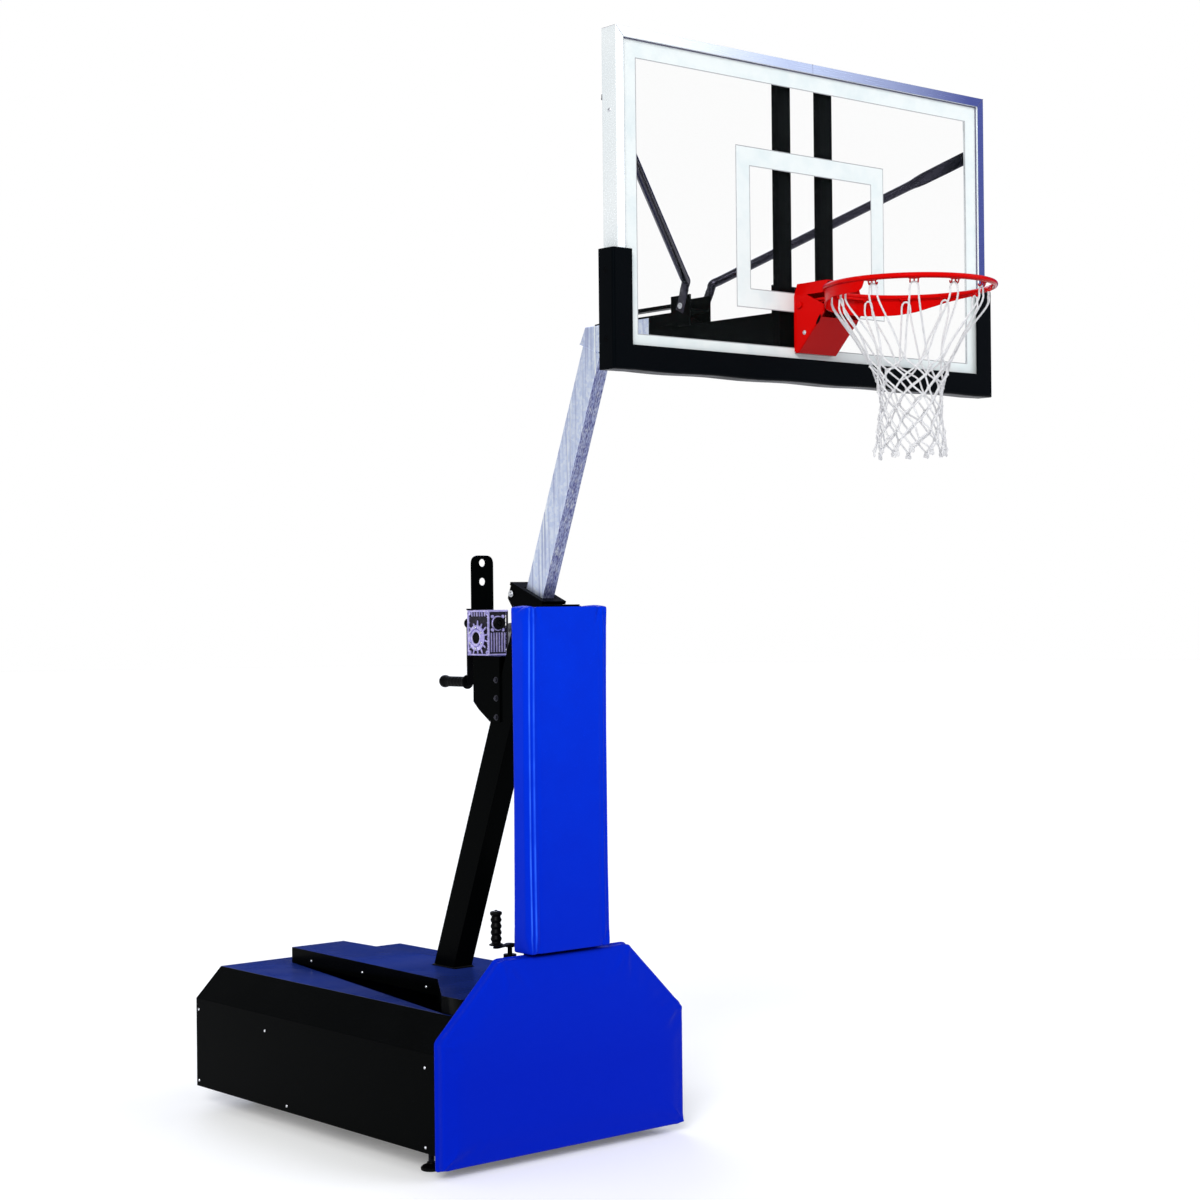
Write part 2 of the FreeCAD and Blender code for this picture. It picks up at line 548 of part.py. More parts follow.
def jack():
    tube = rod("jack_out", "z", "jack_r", "jack_high - 180", "jack_x", "jack_y", 180)
    flange = block("jack_flange", "jack_x - 32", "jack_x + 32", 250, "jack_y + 26", "rail_top", 182)
    bore = rod("jack_bore", "z", "jack_r - 3", "jack_high - 180", "jack_x", "jack_y", 165)
    screw_bore = rod("jack_neck", "z", 8.4, 40, "jack_x", "jack_y", "jack_high - 20")
    node("jack_tube", cut("jack_tube", fuse("jack_body", tube, flange), bore, screw_bore))
    leg = rod("leg_bar", "z", "jack_r - 3.4", 300, "jack_x", "jack_y", 134)
    leg_bore = rod("leg_bore", "z", 9, 280, "jack_x", "jack_y", 160)
    bridge = block("fork_bridge", "jack_x - 27", "jack_x + 27", "jack_y - 18", "jack_y + 18", 128, 134)
    forks = [block(f"fork_{i}", f"jack_x + {x}", f"jack_x + {x} + 5", "jack_y - 12", "jack_y + 12",
                   68, 130) for i, x in enumerate((-27, 22))]
    axle = rod("fork_axle", "x", 6, 54, "jack_x - 27", "jack_y", 80)
    node("jack_leg", fuse("jack_leg", cut("leg_tube", leg, leg_bore), bridge, *forks, axle))
    tyre = turned("jack_wheel", ((6.3, -18), ("jack_tyre_r - 4", -18), ("jack_tyre_r", -13),
                                 ("jack_tyre_r", 13), ("jack_tyre_r - 4", 18), (6.3, 18)))
    node("jack_wheel", place(tyre, "jack_x", "jack_y", 80, TURN["x"]))
    screw = rod("jack_screw", "z", 8, 420, "jack_x", "jack_y", 270)
    hub = rod("jack_hub", "z", 16, 12, "jack_x", "jack_y", 684)
    arm = plate("jack_bar", "XY_Plane", ((0, -11), ("jack_reach", -11), ("jack_reach", 11), (0, 11)),
                0, 6)
    arm.Placement = Placement(Vector(0, 0, 0), Rotation(Vector(0, 0, 1), 1))
    bind(arm, "Placement.Rotation.Angle", "jack_aim")
    for axis, text in zip("xyz", ("jack_x", "jack_y", "690")):
        bind(arm, "Placement.Base." + axis, text)
    grip_x = "jack_x + jack_reach * cos(jack_aim)"
    grip_y = "jack_y + jack_reach * sin(jack_aim)"
    end = rod("jack_end", "z", 11, 6, grip_x, grip_y, 690)
    pin = rod("jack_pin", "z", 5, 128, grip_x, grip_y, 690)
    node("jack_crank", fuse("jack_crank", screw, hub, arm, end, pin))
    rings = [(5.4, 0), (24, 0), (24, 5), (17, 9)]
    for index in range(4):
        rings += [(18.5, 20 + 21 * index), (15.5, 30 + 21 * index)]
    rings += [(20, 108), (19, 114), (5.4, 114)]
    node("jack_grip", place(turned("jack_grip", rings), grip_x, grip_y, 700))


# ---------------------------------------------------------------- boom and back of the board

def boom():
    side = (("arm_end", "arm_top - 3"), (-463, "arm_top - 3"), (-551, 2693), (-977, 2691), (-977, 2590),
            (-760, 2590), (-551, 2630), ("arm_end", "arm_low + 4"))
    core = (("arm_end - 12", "arm_top - 9"), (-461, "arm_top - 9"), (-549, 2687), (-970, 2685),
            (-970, 2596), (-761, 2596), (-552, 2636), ("arm_end - 12", "arm_low + 10"))
    shell = plate("boom_shell", "YZ_Plane", side, "-boom_half", "2 * boom_half")
    hollow = plate("boom_hollow", "YZ_Plane", core, "-boom_half + 5", "2 * boom_half - 10")
    body = cut("boom_box", shell, hollow)
    cap = block("boom_cap", -26, 26, -462, -286, "arm_top", "arm_top + 5")
    step = block("boom_step", -26, 26, -463, "arm_end", "arm_top - 4", "arm_top + 1")
    node("boom", fuse("boom", body, cap, step))
    node("boom_plate", block("boom_plate", "-upright_out", "upright_out", "edge_rear", "edge_rear + 8",
                             2560, 2760))


def tie_bar():
    side = ((-463, 2757), (-120, 2757), (-92, "arm_top"), (-62, "arm_top"), (-62, 2741), (-84, 2742),
            (-112, 2769), (-463, 2769))
    node("tie_bar", plate("tie_bar", "YZ_Plane", side, -15, 30))


def brace_bracket():
    """Folded channel on the boom that the two braces are bolted to."""
    base = block("bracket_base", -34, 34, -551, "-463 - 0.5", 2734, 2742)
    walls = [block(f"bracket_wall_{i}", x, x + 6, -551, "-463 - 0.5", 2690, 2786)
             for i, x in enumerate((-44.3, 38.3))]
    wide = block("bracket_span", -40, 40, -530, -484, 2734, 2742)
    node("brace_bracket", fuse("brace_bracket", base, wide, *walls))


def brace(name):
    """Round tube with flattened ends: foot on the bracket, bend, then out to the board frame."""
    foot = Vector(-51, -516, 2755)
    bend = Vector(-58, -548, 2824)
    far = Vector(-744, -968, 3229)
    runs = ((foot, bend, 13), (bend, far, number("brace_r")))
    parts = []
    for start, end, radius in runs:
        way = end - start
        parts.append(Part.makeCylinder(radius, way.Length, start, way))
    parts.append(Part.makeSphere(number("brace_r"), bend))
    tab = Part.makeBox(6, 44, 34)
    tab.translate(Vector(-50.3, -538, 2738))
    pad = Part.makeBox(44, 8, 44)
    pad.translate(Vector(-760, number("edge_rear"), 3208))
    tube = parts[0].fuse(parts[1:] + [tab, pad])
    keep = Part.makeBox(1600, 700, 700, Vector(-800, number("edge_rear"), 2700))
    side_keep = Part.makeBox(800, 800, 800, Vector(-845, -1100, 2600))
    return solid(name, tube.common(keep).common(side_keep))


def braces():
    left = brace("brace_left")
    node("brace_left", left)
    node("brace_right", copy_mirrored("brace_right", left))


def uprights():
    for name, x0, x1 in (("upright_left", "-upright_out", "-upright_in"),
                         ("upright_right", "upright_in", "upright_out")):
        bar = block(name + "_bar", x0, x1, "edge_rear - upright_deep", "edge_rear",
                    "board_low + face", "board_top - face")
        bore = block(name + "_bore", f"{x0} + 3", f"{x1} - 3", "edge_rear - upright_deep + 3",
                     "edge_rear - 3", "board_low", "board_top")
        node(name, cut(name, bar, bore))


# ---------------------------------------------------------------- backboard

def board_frame():
    front = "board_y - frame_proud"
    outer = block("frame_out", "-board_half", "board_half", front, f"{front} + frame_deep",
                  "board_low", "board_top")
    inner = block("frame_in", "-board_half + face", "board_half - face", f"{front} - 5",
                  f"{front} + frame_deep + 5", "board_low + face", "board_top - face")
    groove = block("frame_groove", "-board_half + face - glass_bite - 2",
                   "board_half - face + glass_bite + 2", "board_y - 0.3",
                   "board_y + glass_thick + 0.3", "board_low + face - glass_bite - 2",
                   "board_top - face + glass_bite + 2")
    node("board_frame", cut("board_frame", outer, inner, groove))
    node("glass", block("glass", "-board_half + face - glass_bite",
                        "board_half - face + glass_bite", "board_y", "board_y + glass_thick",
                        "board_low + face - glass_bite", "board_top - face + glass_bite"))


def edge_pad():
    """U-shaped guard along the lower edge of the board and up its sides."""
    shape = (("-edge_half", "edge_low"), ("edge_half", "edge_low"), ("edge_half", "edge_top"),
             ("edge_inner", "edge_top"), ("edge_inner", "edge_inner_z"),
             ("-edge_inner", "edge_inner_z"), ("-edge_inner", "edge_top"), ("-edge_half", "edge_top"))
    guard = plate("guard", "XZ_Plane", shape, "edge_rear", "edge_rear - edge_front")
    room = block("guard_room", "-board_half - 0.3", "board_half + 0.3",
                 "board_y - frame_proud - 0.3", "edge_rear + 5", "board_low - 0.3", "edge_top + 5")
    node("edge_pad", cut("edge_pad", guard, room))


def board_bolts():
    """Bolts through the glass at the rim, and the frame's corner screws."""
    parts = []
    for index, (x, z) in enumerate(((-56, 2735), (56, 2735), (-56, 2590), (56, 2590))):
        parts.append(rod(f"rim_bolt_{index}", "y", 9, 7, x, "board_y - 13", z))
    for index, (x, z) in enumerate(((-87, 2735), (87, 2735), (-87, 2590), (87, 2590))):
        parts.append(rod(f"plate_bolt_{index}", "y", 10, 8, x, "edge_rear + 8", z))
    for index, (x, z) in enumerate(((-87, 3300), (87, 3300))):
        parts.append(rod(f"upright_bolt_{index}", "y", 9, 6, x, "edge_rear", z))
    for index, x in enumerate(("-board_half - 2", "board_half")):
        parts.append(rod(f"frame_screw_{index}", "x", 6, 2, x, -1015, 3180))
    node("board_bolts", group("board_bolts", *parts))


# ---------------------------------------------------------------- rim

def rim_bracket():
    back = (("-bracket_half", 2562), ("bracket_half", 2562), ("bracket_half", 2724), (64, 2760),
            (-64, 2760), ("-bracket_half", 2724))
    holes = [(x, z, 5.2) for x in (-56, 56) for z in (2590, 2735)]
    parts = [plate("rim_back", "XZ_Plane", back, "board_y", 6, holes)]
    side = (("board_y - 6", 2559.3), (-1052, 2559.3), (-1155, 2666.3), (-1155, 2688), (-1085, 2724),
            ("board_y - 6", 2724))
    for index, x in enumerate(("-bracket_half", "bracket_half - 5")):
        parts.append(plate(f"rim_side_{index}", "YZ_Plane", side, x, 5,
                           [("hinge_y", "hinge_z", 6.2)]))
    node("rim_bracket", fuse("rim_bracket", *parts))
    slope = (("board_y", 2557), (-1053, 2557), (-1146, 2653), (-1143, 2653.5), (-1052, 2559),
             ("board_y", 2559))
    node("rim_cover", plate("rim_cover", "YZ_Plane", slope, "-bracket_half", "2 * bracket_half"))
    node("rim_pin", fuse("rim_pin", rod("pin_bar", "x", 6, 168, -84, "hinge_y", "hinge_z"),
                         rod("pin_head", "x", 10, 6, -84, "hinge_y", "hinge_z"),
                         rod("pin_nut", "x", 10, 6, 78, "hinge_y", "hinge_z")))


def rim_springs():
    coils = []
    for x in (-40, 40):
        helix = Part.makeHelix(9, 73, 9)
        start = helix.Edges[0].valueAt(helix.Edges[0].FirstParameter)
        tangent = helix.Edges[0].tangentAt(helix.Edges[0].FirstParameter)
        ring = Part.Wire([Part.makeCircle(2, start, tangent)])
        coil = Part.Wire(helix.Edges).makePipeShell([ring], True, True)
        coil.translate(Vector(x, -1098, 2627))
        coils.append(coil)
    node("rim_springs", solid("rim_springs", Part.makeCompound(coils)))


def rim():
    ring = doc.addObject("Part::Torus", "ring")
    bind(ring, "Radius1", "ring_r + ring_rod")
    bind(ring, "Radius2", "ring_rod")
    node("rim_ring", place(ring, 0, "ring_y", "ring_z"))
    # the yoke turns on the hinge pin and reaches out to the ring; its curved skirt holds the rod
    deck = block("yoke_deck", -70, 70, -1188, -1064, 2703, 2710)
    lugs = []
    for index, x in enumerate((-64, 56)):
        lug = plate(f"yoke_lug_{index}", "YZ_Plane",
                    ((-1050, 2681), (-1050, 2709), (-1150, 2709), (-1150, 2700), (-1080, 2681)),
                    x, 8, [("hinge_y", "hinge_z", 6.4)])
        lugs.append(lug)
    band = cut("band", rod("band_out", "z", "ring_r + 11", 60, 0, "ring_y", 2650),
               rod("band_in", "z", "ring_r + 5", 80, 0, "ring_y", 2640))
    clear = ((-1700, 2640), ("ring_y - 45", 2640), ("ring_y - 45", 2708.5), (-1700, 2708.5))
    slope = (("ring_y - 46", 2640), (-1140, 2640), (-1140, 2652), ("ring_y - 46", 2708.5))
    front = plate("band_front", "YZ_Plane", clear, -400, 800)
    under = plate("band_under", "YZ_Plane", slope, -400, 800)
    trimmed = cut("band_trim", band, front, under)
    room = doc.addObject("Part::Torus", "ring_room")
    bind(room, "Radius1", "ring_r + ring_rod")
    bind(room, "Radius2", "ring_rod + 0.05")
    place(room, 0, "ring_y", "ring_z")
    node("rim_yoke", cut("rim_yoke", fuse("yoke_all", deck, *lugs, trimmed), room))


def net_hooks():
    hooks = []
    for index in range(12):
        hook = doc.addObject("Part::Torus", f"hook_{index}")
        hook.Radius1 = 7
        hook.Radius2 = 2
        angle = 15 + 30 * index
        hook.Placement = Placement(Vector(0, 0, 0), Rotation(Vector(0, 0, 1), angle).multiply(
            Rotation(Vector(0, 1, 0), 90)))
        bind(hook, "Placement.Base.x", f"(ring_r + 0.5) * cos({angle})")
        bind(hook, "Placement.Base.y", f"ring_y + (ring_r + 0.5) * sin({angle})")
        bind(hook, "Placement.Base.z", "ring_z - ring_rod - 6")
        hooks.append(hook)
    node("net_hooks", group("net_hooks", *hooks))


def net():
    """Open tapered sleeve that the knotted net fills."""
    top = "ring_z - 26"
    outer = ((225, top), (170, 2590), (127, 2512), (100, 2430), (94, 2370), (95, 2320),
             (108, "net_low"))
    inner = [(f"{r} - net_wall", z) for r, z in reversed(outer)]
    node("net", place(turned("net", list(outer) + inner), 0, "ring_y", 0))


for make in (base_frame, ballast_blocks, centre_cover, end_panels, cover_screws, base_pad, column,
             outer_mast, mast_collar, mast_guides, upper_mast, foot_guide, winch_bracket,
             winch_plate, gearbox, worm_shaft, worm_wheel, hoist_drum, hoist_crank, sheave,
             hoist_rope, machine_bolts, rear_wheels, levelling_feet, jack, boom, tie_bar,
             brace_bracket, braces, uprights, board_frame, edge_pad, board_bolts, rim_bracket,
             rim_springs, rim, net_hooks, net):
    make()
side_cover("side_cover_left", -1, -150)
side_cover("side_cover_right", 1, 45)

doc.recompute()


# ---------------------------------------------------------------- checks and files

failed = [o.Name for o in doc.Objects if "Invalid" in o.State or "Error" in o.State]
if failed:
    raise RuntimeError("failed objects: " + ", ".join(failed))
os.makedirs("parts", exist_ok=True)
for name, obj in NODES:
    shape = obj.Shape
    if shape.isNull() or not shape.isValid() or not shape.Solids:
        raise RuntimeError("bad shape: " + name)
    print(f"{name:20s} solids {len(shape.Solids):3d}  volume {shape.Volume / 1000:10.1f} cm3")
    shape.exportStep(f"parts/{name}.step")
print(len(NODES), "nodes")
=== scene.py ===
import json
import math
import random

import bmesh
import bpy
import numpy as np
from mathutils import Matrix, Vector


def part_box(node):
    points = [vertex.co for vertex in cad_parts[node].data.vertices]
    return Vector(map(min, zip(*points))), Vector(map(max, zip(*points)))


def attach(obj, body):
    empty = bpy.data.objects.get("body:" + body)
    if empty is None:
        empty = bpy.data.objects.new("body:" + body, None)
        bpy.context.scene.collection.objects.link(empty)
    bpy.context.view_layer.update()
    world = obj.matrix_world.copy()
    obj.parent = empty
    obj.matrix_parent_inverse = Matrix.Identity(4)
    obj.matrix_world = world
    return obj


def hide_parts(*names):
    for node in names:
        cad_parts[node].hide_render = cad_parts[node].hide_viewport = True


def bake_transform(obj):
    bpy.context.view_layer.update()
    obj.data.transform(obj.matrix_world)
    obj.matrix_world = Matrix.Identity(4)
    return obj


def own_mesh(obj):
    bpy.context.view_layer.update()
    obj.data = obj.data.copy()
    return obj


# The looks of a portable basketball hoop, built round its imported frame.
# Metres, +Z up, the court side faces -Y, X = 0 is the plane of symmetry.

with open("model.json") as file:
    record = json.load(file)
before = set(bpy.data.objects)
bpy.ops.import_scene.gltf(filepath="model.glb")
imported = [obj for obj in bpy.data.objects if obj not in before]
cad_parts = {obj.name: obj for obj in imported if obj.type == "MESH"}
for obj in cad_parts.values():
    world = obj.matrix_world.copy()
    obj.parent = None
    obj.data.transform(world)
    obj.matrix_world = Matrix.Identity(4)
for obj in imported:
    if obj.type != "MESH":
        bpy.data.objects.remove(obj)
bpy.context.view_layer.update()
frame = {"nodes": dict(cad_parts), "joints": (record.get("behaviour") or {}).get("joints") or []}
chance = random.Random(7)
MM = 0.001
TURN = 2 * math.pi
X, Y, Z = Vector((1, 0, 0)), Vector((0, 1, 0)), Vector((0, 0, 1))
MAST_LEAN = math.radians(21.4)


def mm(*points):
    """Points given in millimetres."""
    return [tuple(number * MM for number in point) for point in points]


def polar(radius, angle):
    return radius * math.cos(angle), radius * math.sin(angle)


def joint_at(name):
    """Where a joint of the frame is."""
    return Vector(next(joint for joint in frame["joints"] if joint["name"] == name)["pos_m"])


# ---------------------------------------------------------------- camera, light and floor

CAMERA_AT = Vector((-4.850, -5.774, 1.838))
CAMERA_AZIMUTH = math.radians(-40.31)
CAMERA_PITCH = math.radians(0.06)
CAMERA_ROLL = math.radians(-0.58)
SENSOR = 36.0
LENS = 69.07
FLOOR_RADIUS = 60.0
DOME_STRENGTH = 0.62

scene = bpy.context.scene
scene.view_settings.view_transform = "Standard"


def make_camera():
    data = bpy.data.cameras.new("camera")
    data.sensor_width = SENSOR
    data.lens = LENS
    data.clip_end = 200
    camera = bpy.data.objects.new("camera", data)
    scene.collection.objects.link(camera)
    turn = (Matrix.Rotation(CAMERA_AZIMUTH, 4, "Z")
            @ Matrix.Rotation(math.pi / 2 + CAMERA_PITCH, 4, "X")
            @ Matrix.Rotation(CAMERA_ROLL, 4, "Z"))
    camera.matrix_world = Matrix.Translation(CAMERA_AT) @ turn
    scene.camera = camera


def make_sun(name, toward, strength, colour, spread):
    """A broad soft light that shines along the direction given."""
    data = bpy.data.lights.new(name, "SUN")
    data.energy = strength
    data.color = colour
    data.angle = math.radians(spread)
    light = bpy.data.objects.new(name, data)
    light.rotation_mode = "QUATERNION"
    light.rotation_quaternion = Vector(toward).to_track_quat("-Z", "Y")
    scene.collection.objects.link(light)


def add_node(tree, kind, inputs=None, **settings):
    """A shader node. Each input is a value or the output of another node."""
    node = tree.nodes.new("ShaderNode" + kind)
    for name, value in settings.items():
        setattr(node, name, value)
    for name, value in (inputs or {}).items():
        if isinstance(value, bpy.types.NodeSocket):
            tree.links.new(value, node.inputs[name])
        else:
            node.inputs[name].default_value = value
    return node


def make_world():
    """White behind the object. Glossy paint mirrors a dome, bright at the left and dark blue at the right."""
    world = bpy.data.worlds.new("studio")
    scene.world = world
    world.use_nodes = True
    tree = world.node_tree
    tree.nodes.clear()
    place = add_node(tree, "TexCoord").outputs["Generated"]
    parts = add_node(tree, "SeparateXYZ", {0: place}).outputs

    def ramp(axis, low, *stops):
        ranged = add_node(tree, "MapRange", {"Value": parts[axis], "From Min": low, "From Max": 1.0})
        colours = add_node(tree, "ValToRGB", {0: ranged.outputs[0]})
        ends = colours.color_ramp.elements
        ends[0].position, ends[0].color = stops[0][0], (*stops[0][1], 1)
        ends[1].position, ends[1].color = stops[-1][0], (*stops[-1][1], 1)
        for position, colour in stops[1:-1]:
            ends.new(position).color = (*colour, 1)
        return colours.outputs[0]

    def product(first, second):
        return add_node(tree, "Math", {0: first, 1: second}, operation="MULTIPLY").outputs[0]

    def mix(factor, first, colour):
        return add_node(tree, "Mix", {0: factor, 6: first, 7: (*colour, 1)}, data_type="RGBA").outputs[2]

    none, full = (0, 0, 0), (1, 1, 1)
    across = ramp("X", -1.0, (0.1, full), (0.55, (0.62, 0.66, 0.72)), (0.80, (0.50, 0.55, 0.66)),
                  (0.9, (0.07, 0.09, 0.30)))
    upward = ramp("Z", 0.0, (0.35, none), (0.8, full))
    level = ramp("Z", 0.0, (0.25, full), (0.6, none))
    far = ramp("Y", 0.0, (0.2, none), (0.6, full))
    right = ramp("X", 0.0, (0.1, none), (0.5, full))
    sky = mix(upward, across, (0.95, 0.97, 1.0))
    sky = mix(product(product(far, right), level), sky, (0.04, 0.09, 0.62))
    dome = add_node(tree, "Background", {0: sky, 1: DOME_STRENGTH})
    white = add_node(tree, "Background", {0: (1, 1, 1, 1)})
    seen = add_node(tree, "LightPath").outputs["Is Camera Ray"]
    choice = add_node(tree, "MixShader", {0: seen, 1: dome.outputs[0], 2: white.outputs[0]})
    add_node(tree, "OutputWorld", {0: choice.outputs[0]})


# ---------------------------------------------------------------- materials

SOCKETS = {"metallic": "Metallic", "glow": "Emission Strength", "spec": "Specular IOR Level",
           "spec_tint": "Specular Tint", "sheen": "Sheen Weight", "alpha": "Alpha"}
EVEN, LEVEL = (1, 1, 1), (0, 0, 0)


class Look:
    """A Principled material; its variation comes from 3-D patterns in the piece's own space, in metres."""

    def __init__(self, name, colour, rough, **values):
        self.material = bpy.data.materials.new(name)
        self.material.use_nodes = True
        self.tree = self.material.node_tree
        self.shader = self.tree.nodes["Principled BSDF"]
        self.shader.inputs["Base Color"].default_value = (*colour, 1)
        self.shader.inputs["Roughness"].default_value = rough
        for key, value in values.items():
            self.shader.inputs[SOCKETS[key]].default_value = value
        self.place = self.add("TexCoord", "Object")

    def add(self, kind, output, inputs=None, **settings):
        return add_node(self.tree, kind, inputs, **settings).outputs[output]

    def scaled(self, stretch=EVEN, turn=LEVEL):
        return self.add("Mapping", 0, {"Vector": self.place, "Rotation": turn, "Scale": stretch})

    def noise(self, scale, detail=3.0, stretch=EVEN, turn=LEVEL):
        return self.add("TexNoise", "Fac", {"Vector": self.scaled(stretch, turn), "Scale": scale, "Detail": detail})

    def grains(self, scale, turn=LEVEL):
        """The random grey of each Voronoi cell."""
        colour = self.add("TexVoronoi", "Color", {"Vector": self.scaled(EVEN, turn), "Scale": scale})
        return self.add("SeparateColor", 0, {0: colour})

    def creases(self, scale):
        """The distance to the nearest edge between Voronoi cells."""
        return self.add("TexVoronoi", "Distance", {"Vector": self.scaled(), "Scale": scale},
                        feature="DISTANCE_TO_EDGE")

    def waves(self, scale, stretch=EVEN):
        return self.add("TexWave", "Fac", {"Vector": self.scaled(stretch), "Scale": scale, "Distortion": 0.4})

    def span(self, value, low, high, to_low=0.0, to_high=1.0):
        return self.add("MapRange", 0, {"Value": value, "From Min": low, "From Max": high,
                                        "To Min": to_low, "To Max": to_high})

    def times(self, first, second):
        return self.add("Math", 0, {0: first, 1: second}, operation="MULTIPLY")

    def looking(self, axis, low, high):
        """1 on faces whose normal has high along the axis, 0 below low."""
        return self.span(self.add("SeparateXYZ", axis, {0: self.add("NewGeometry", "Normal")}), low, high)

    def along(self, axis, low, high):
        """0 to 1 along an axis of the piece."""
        return self.span(self.add("SeparateXYZ", axis, {0: self.place}), low, high)

    def tint(self, factor, colour):
        """Mix the base colour with another where the factor is high."""
        base = self.shader.inputs["Base Color"]
        before = base.links[0].from_socket if base.is_linked else base.default_value
        mixed = self.add("Mix", 2, {0: factor, 6: before, 7: (*colour, 1)}, data_type="RGBA")
        self.tree.links.new(mixed, base)
        return self

    def mottle(self, scale, detail, low, high, colour, most=1.0):
        """Clouds or specks of another colour."""
        return self.tint(self.span(self.noise(scale, detail), low, high, 0, most), colour)

    def roughen(self, value, low, high, to_low, to_high):
        self.tree.links.new(self.span(value, low, high, to_low, to_high), self.shader.inputs["Roughness"])
        return self

    def wear(self, scale, detail, smooth, rough, stretch=EVEN):
        """Let the roughness wander between two values."""
        return self.roughen(self.noise(scale, detail, stretch), 0.3, 0.7, smooth, rough)

    def bump(self, value, distance, strength=1.0):
        normal = self.shader.inputs["Normal"]
        inputs = {"Height": value, "Distance": distance, "Strength": strength}
        if normal.is_linked:
            inputs["Normal"] = normal.links[0].from_socket
        self.tree.links.new(self.add("Bump", 0, inputs), normal)
        return self

    def relief(self, scale, detail, distance, strength=1.0):
        """Fine unevenness of the surface."""
        return self.bump(self.noise(scale, detail), distance, strength)


def painted(name, colour, rough, dust, **values):
    """Powder coat: fine orange peel, cloudy gloss, specks of dust."""
    look = Look(name, colour, rough, **values).wear(7, 4, rough * 0.8, rough * 1.35)
    return look.mottle(420, 1, 0.70, 0.80, dust).relief(380, 2, 0.00004)


def paints(looks):
    """Enamels; the black one has a painted reflection of the sky in patches where it faces up, the orange one painted
    shade where it faces down, and the markings' grey edges are painted shadow lines.
    """
    looks["enamel"] = enamel = painted("black_enamel", (0.0006, 0.0008, 0.0008), 0.20, (0.006, 0.007, 0.009),
                                       spec=0.012, spec_tint=(0.15, 0.22, 0.22, 1))
    # painted reflection: upward faces of the black enamel turn dark navy in patches, the sky mirrored in them
    patches = enamel.span(enamel.noise(1.6, 3), 0.3, 0.75, 0.45, 1)
    enamel.tint(enamel.times(enamel.looking("Z", 0.85, 0.99), patches), (0.012, 0.029, 0.19))
    looks["frame_paint"] = painted("frame_paint", (0.0016, 0.0016, 0.002), 0.42, (0.01, 0.01, 0.01),
                                   spec=0.02, spec_tint=(0.3, 0.35, 0.4, 1))
    looks["boom_paint"] = painted("boom_paint", (0.0007, 0.0008, 0.0010), 0.28, (0.006, 0.006, 0.010),
                                  spec=0.015, spec_tint=(0.3, 0.35, 0.45, 1))
    looks["brace_paint"] = painted("brace_paint", (0.0012, 0.0012, 0.0020), 0.22, (0.006, 0.006, 0.010),
                                   spec=0.5, spec_tint=(0.75, 0.7, 1, 1))
    looks["orange"] = orange = painted("rim_orange", (0.50, 0.0016, 0.0012), 0.16, (0.52, 0.01, 0.008),
                                       spec=0.07, spec_tint=(1, 0.1, 0.15, 1))
    # painted shade: faces that look down are a darker red
    orange.tint(orange.looking("Z", -0.25, -0.6), (0.33, 0.0008, 0.0008))
    looks["white"] = Look("fired_paint", (0.66, 0.70, 0.69), 0.36, spec=0.2)
    looks["white"].mottle(16, 5, 0.45, 0.7, (0.60, 0.66, 0.66)).relief(350, 3, 0.00004)
    # painted shadow: a grey line along the edges of the white markings
    looks["outline"] = Look("marking_edge_shadow", (0.24, 0.25, 0.26), 0.5).mottle(90, 3, 0, 1, (0.36, 0.37, 0.38))


def vinyls(looks):
    """The blue pads' vinyl and the board guard's black."""
    looks["vinyl"] = vinyl = Look("blue_vinyl", (0.0005, 0.025, 0.54), 0.40, spec=0.035,
                                  spec_tint=(0.03, 0.22, 1, 1))
    vinyl.mottle(9, 5, 0.3, 0.72, (0.0008, 0.022, 0.50)).mottle(130, 3, 0.60, 0.85, (0.001, 0.032, 0.62))
    # painted shade: the vinyl darkens towards the floor
    vinyl.tint(vinyl.along("Z", 1.7, 0.3), (0.0008, 0.0105, 0.36))
    # painted highlights: pale streaks along the folds beside the column's left front corner, where the light from the
    # left catches them
    front, edge = vinyl.looking("Y", -0.6, -0.85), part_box("column_pad")[0]
    for inward, colour in ((7, (0.03, 0.13, 0.80)), (22, (0.02, 0.10, 0.74))):
        x = edge.x + inward * MM
        fold = vinyl.times(vinyl.along("X", x - 4 * MM, x), vinyl.along("X", x + 4 * MM, x))
        broken_highlight = vinyl.span(vinyl.noise(7, 3), 0.3, 0.55, 0.3, 1)
        above = vinyl.times(vinyl.along("Z", edge.z, edge.z + 40 * MM), broken_highlight)
        vinyl.tint(vinyl.times(front, vinyl.times(fold, above)), colour)
    vinyl.wear(22, 3, 0.34, 0.48).bump(vinyl.creases(640), 0.00018).relief(18, 3, 0.0012, 0.5)

    looks["guard"] = guard = Look("black_vinyl", (0.0010, 0.0014, 0.002), 0.33, spec=0.03,
                                  spec_tint=(0.35, 0.5, 0.6, 1))
    guard.wear(12, 4, 0.26, 0.42).bump(guard.creases(520), 0.00015).relief(14, 2, 0.001, 0.5)


